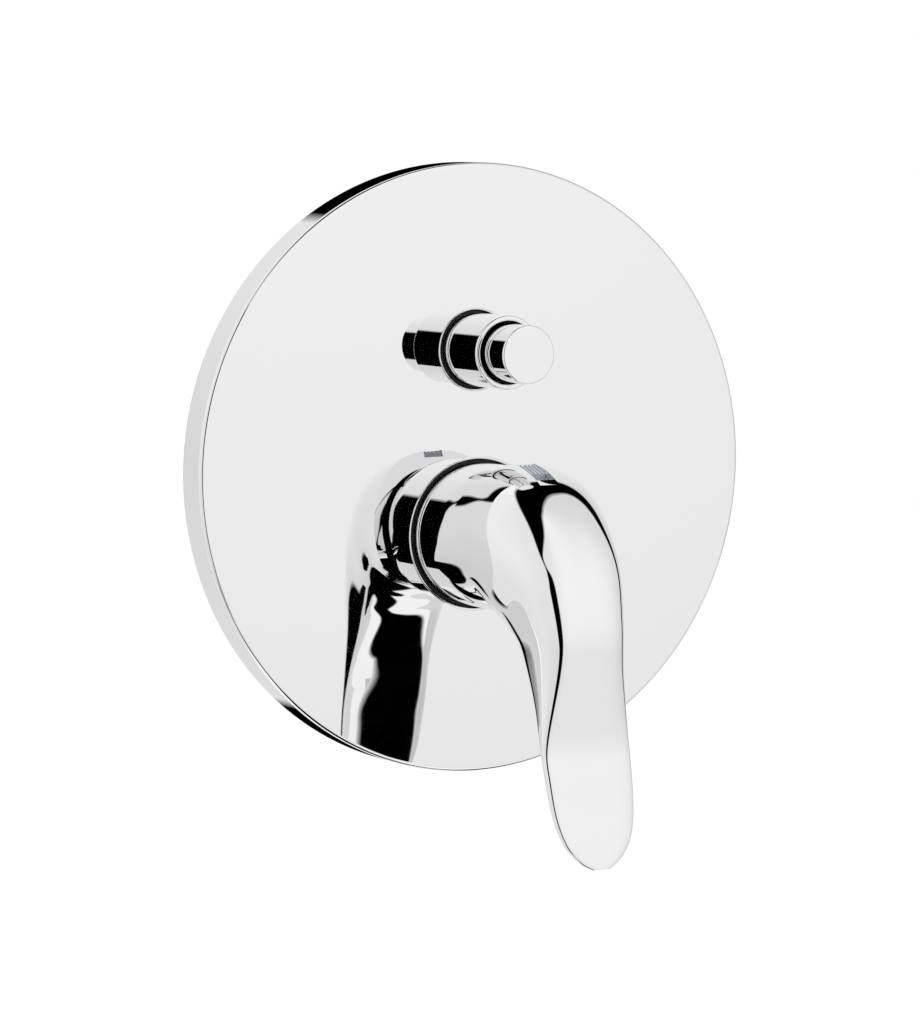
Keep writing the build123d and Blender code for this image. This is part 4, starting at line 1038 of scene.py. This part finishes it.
# Pale cloth all round: strength by azimuth, and shade by elevation
WALL_TURNS = [(-150, 0.74), (-110, 0.75), (-75, 0.82), (-45, 0.95), (-30, 1.0), (-10, 1.0), (15, 0.9),
              (45, 0.86), (85, 0.9), (110, 0.96), (135, 0.96)]
WALL_STOPS = [(-50, 0.86), (-18, 0.86), (2, 0.955), (14, 0.98), (82, 0.96)]
REAR_TURNS = [(140, 1.0), (190, 1.0)]
REAR_STOPS = [(-45, 0.8), (0, 0.74), (45, 0.9)]
LAMPS = (
    # name, azimuth, elevation, distance, size, power
    ("key", 55, 50, 1.6, 0.9, 14),
    ("fill", -50, 30, 1.8, 1.2, 10),
    ("rear", 170, 40, 1.8, 1.0, 10),
)


def make_studio():
    make_world()
    make_floor()
    made = card_material()
    add_band("camera_cloth", made, CAMERA_BAND, SOFT_EDGES)
    add_band("cloth_behind", made, BEHIND_BAND, SOFT_EDGES)
    add_band("cloth_below", made, FLOOR_BAND, SOFT_EDGES)
    add_panel("cloth_wall", made, WALL_TURNS, WALL_STOPS)
    add_panel("rear_wall", made, REAR_TURNS, REAR_STOPS)
    for lamp in LAMPS:
        add_lamp(*lamp)


def make_camera():
    """The photograph's camera."""
    data = bpy.data.cameras.new("camera")
    data.lens = CAMERA_LENS
    data.sensor_width = CAMERA_SENSOR
    data.sensor_fit = "AUTO"
    data.clip_start, data.clip_end = CAMERA_CLIP
    camera = link(bpy.data.objects.new("camera", data))
    back = toward(CAMERA_AZIMUTH, CAMERA_ELEVATION)
    right = (-back).cross(Vector((0, 0, 1))).normalized()
    up = right.cross(-back)
    roll = math.radians(CAMERA_ROLL)
    rolled_right = math.cos(roll) * right + math.sin(roll) * up
    rolled_up = math.cos(roll) * up - math.sin(roll) * right
    place = Matrix((rolled_right, rolled_up, back)).transposed().to_4x4()
    place.translation = CAMERA_TARGET + back * CAMERA_DISTANCE
    camera.matrix_world = place
    bpy.context.scene.camera = camera


def main():
    bpy.context.scene.view_settings.view_transform = "Standard"
    finishes = make_materials()
    slots = {part["node"]: part["material_slot"] for part in frame["record"]["subparts"]}
    for node, obj in NODES.items():
        give(obj, finishes[slots[node]])
    spring_coil = build_spring()
    finer = (
        # piece, its node, its body, its second finish
        (build_cover_plate(), "cover_plate", "wall_unit", "inside"),
        (build_sleeve(), "lever_sleeve", "wall_unit", None),
        (build_collar(), "diverter_collar", "wall_unit", None),
        (build_knob(), "diverter_knob", "diverter", None),
        # The lever's second material is the hollow's near-black painted shade
        (build_lever(), "lever_handle", "lever", "hollow"),
        (build_body(), "mixer_body", "wall_unit", "brass_turned"),
        (spring_coil, "diverter_spring", "wall_unit", None),
    )
    for piece, node, body, second in finer:
        give(piece, *[finishes[name] for name in (slots[node], second) if name])
        stand_for(piece, node, body)
    shorten_spring(spring_coil)
    make_studio()
    make_camera()


main()
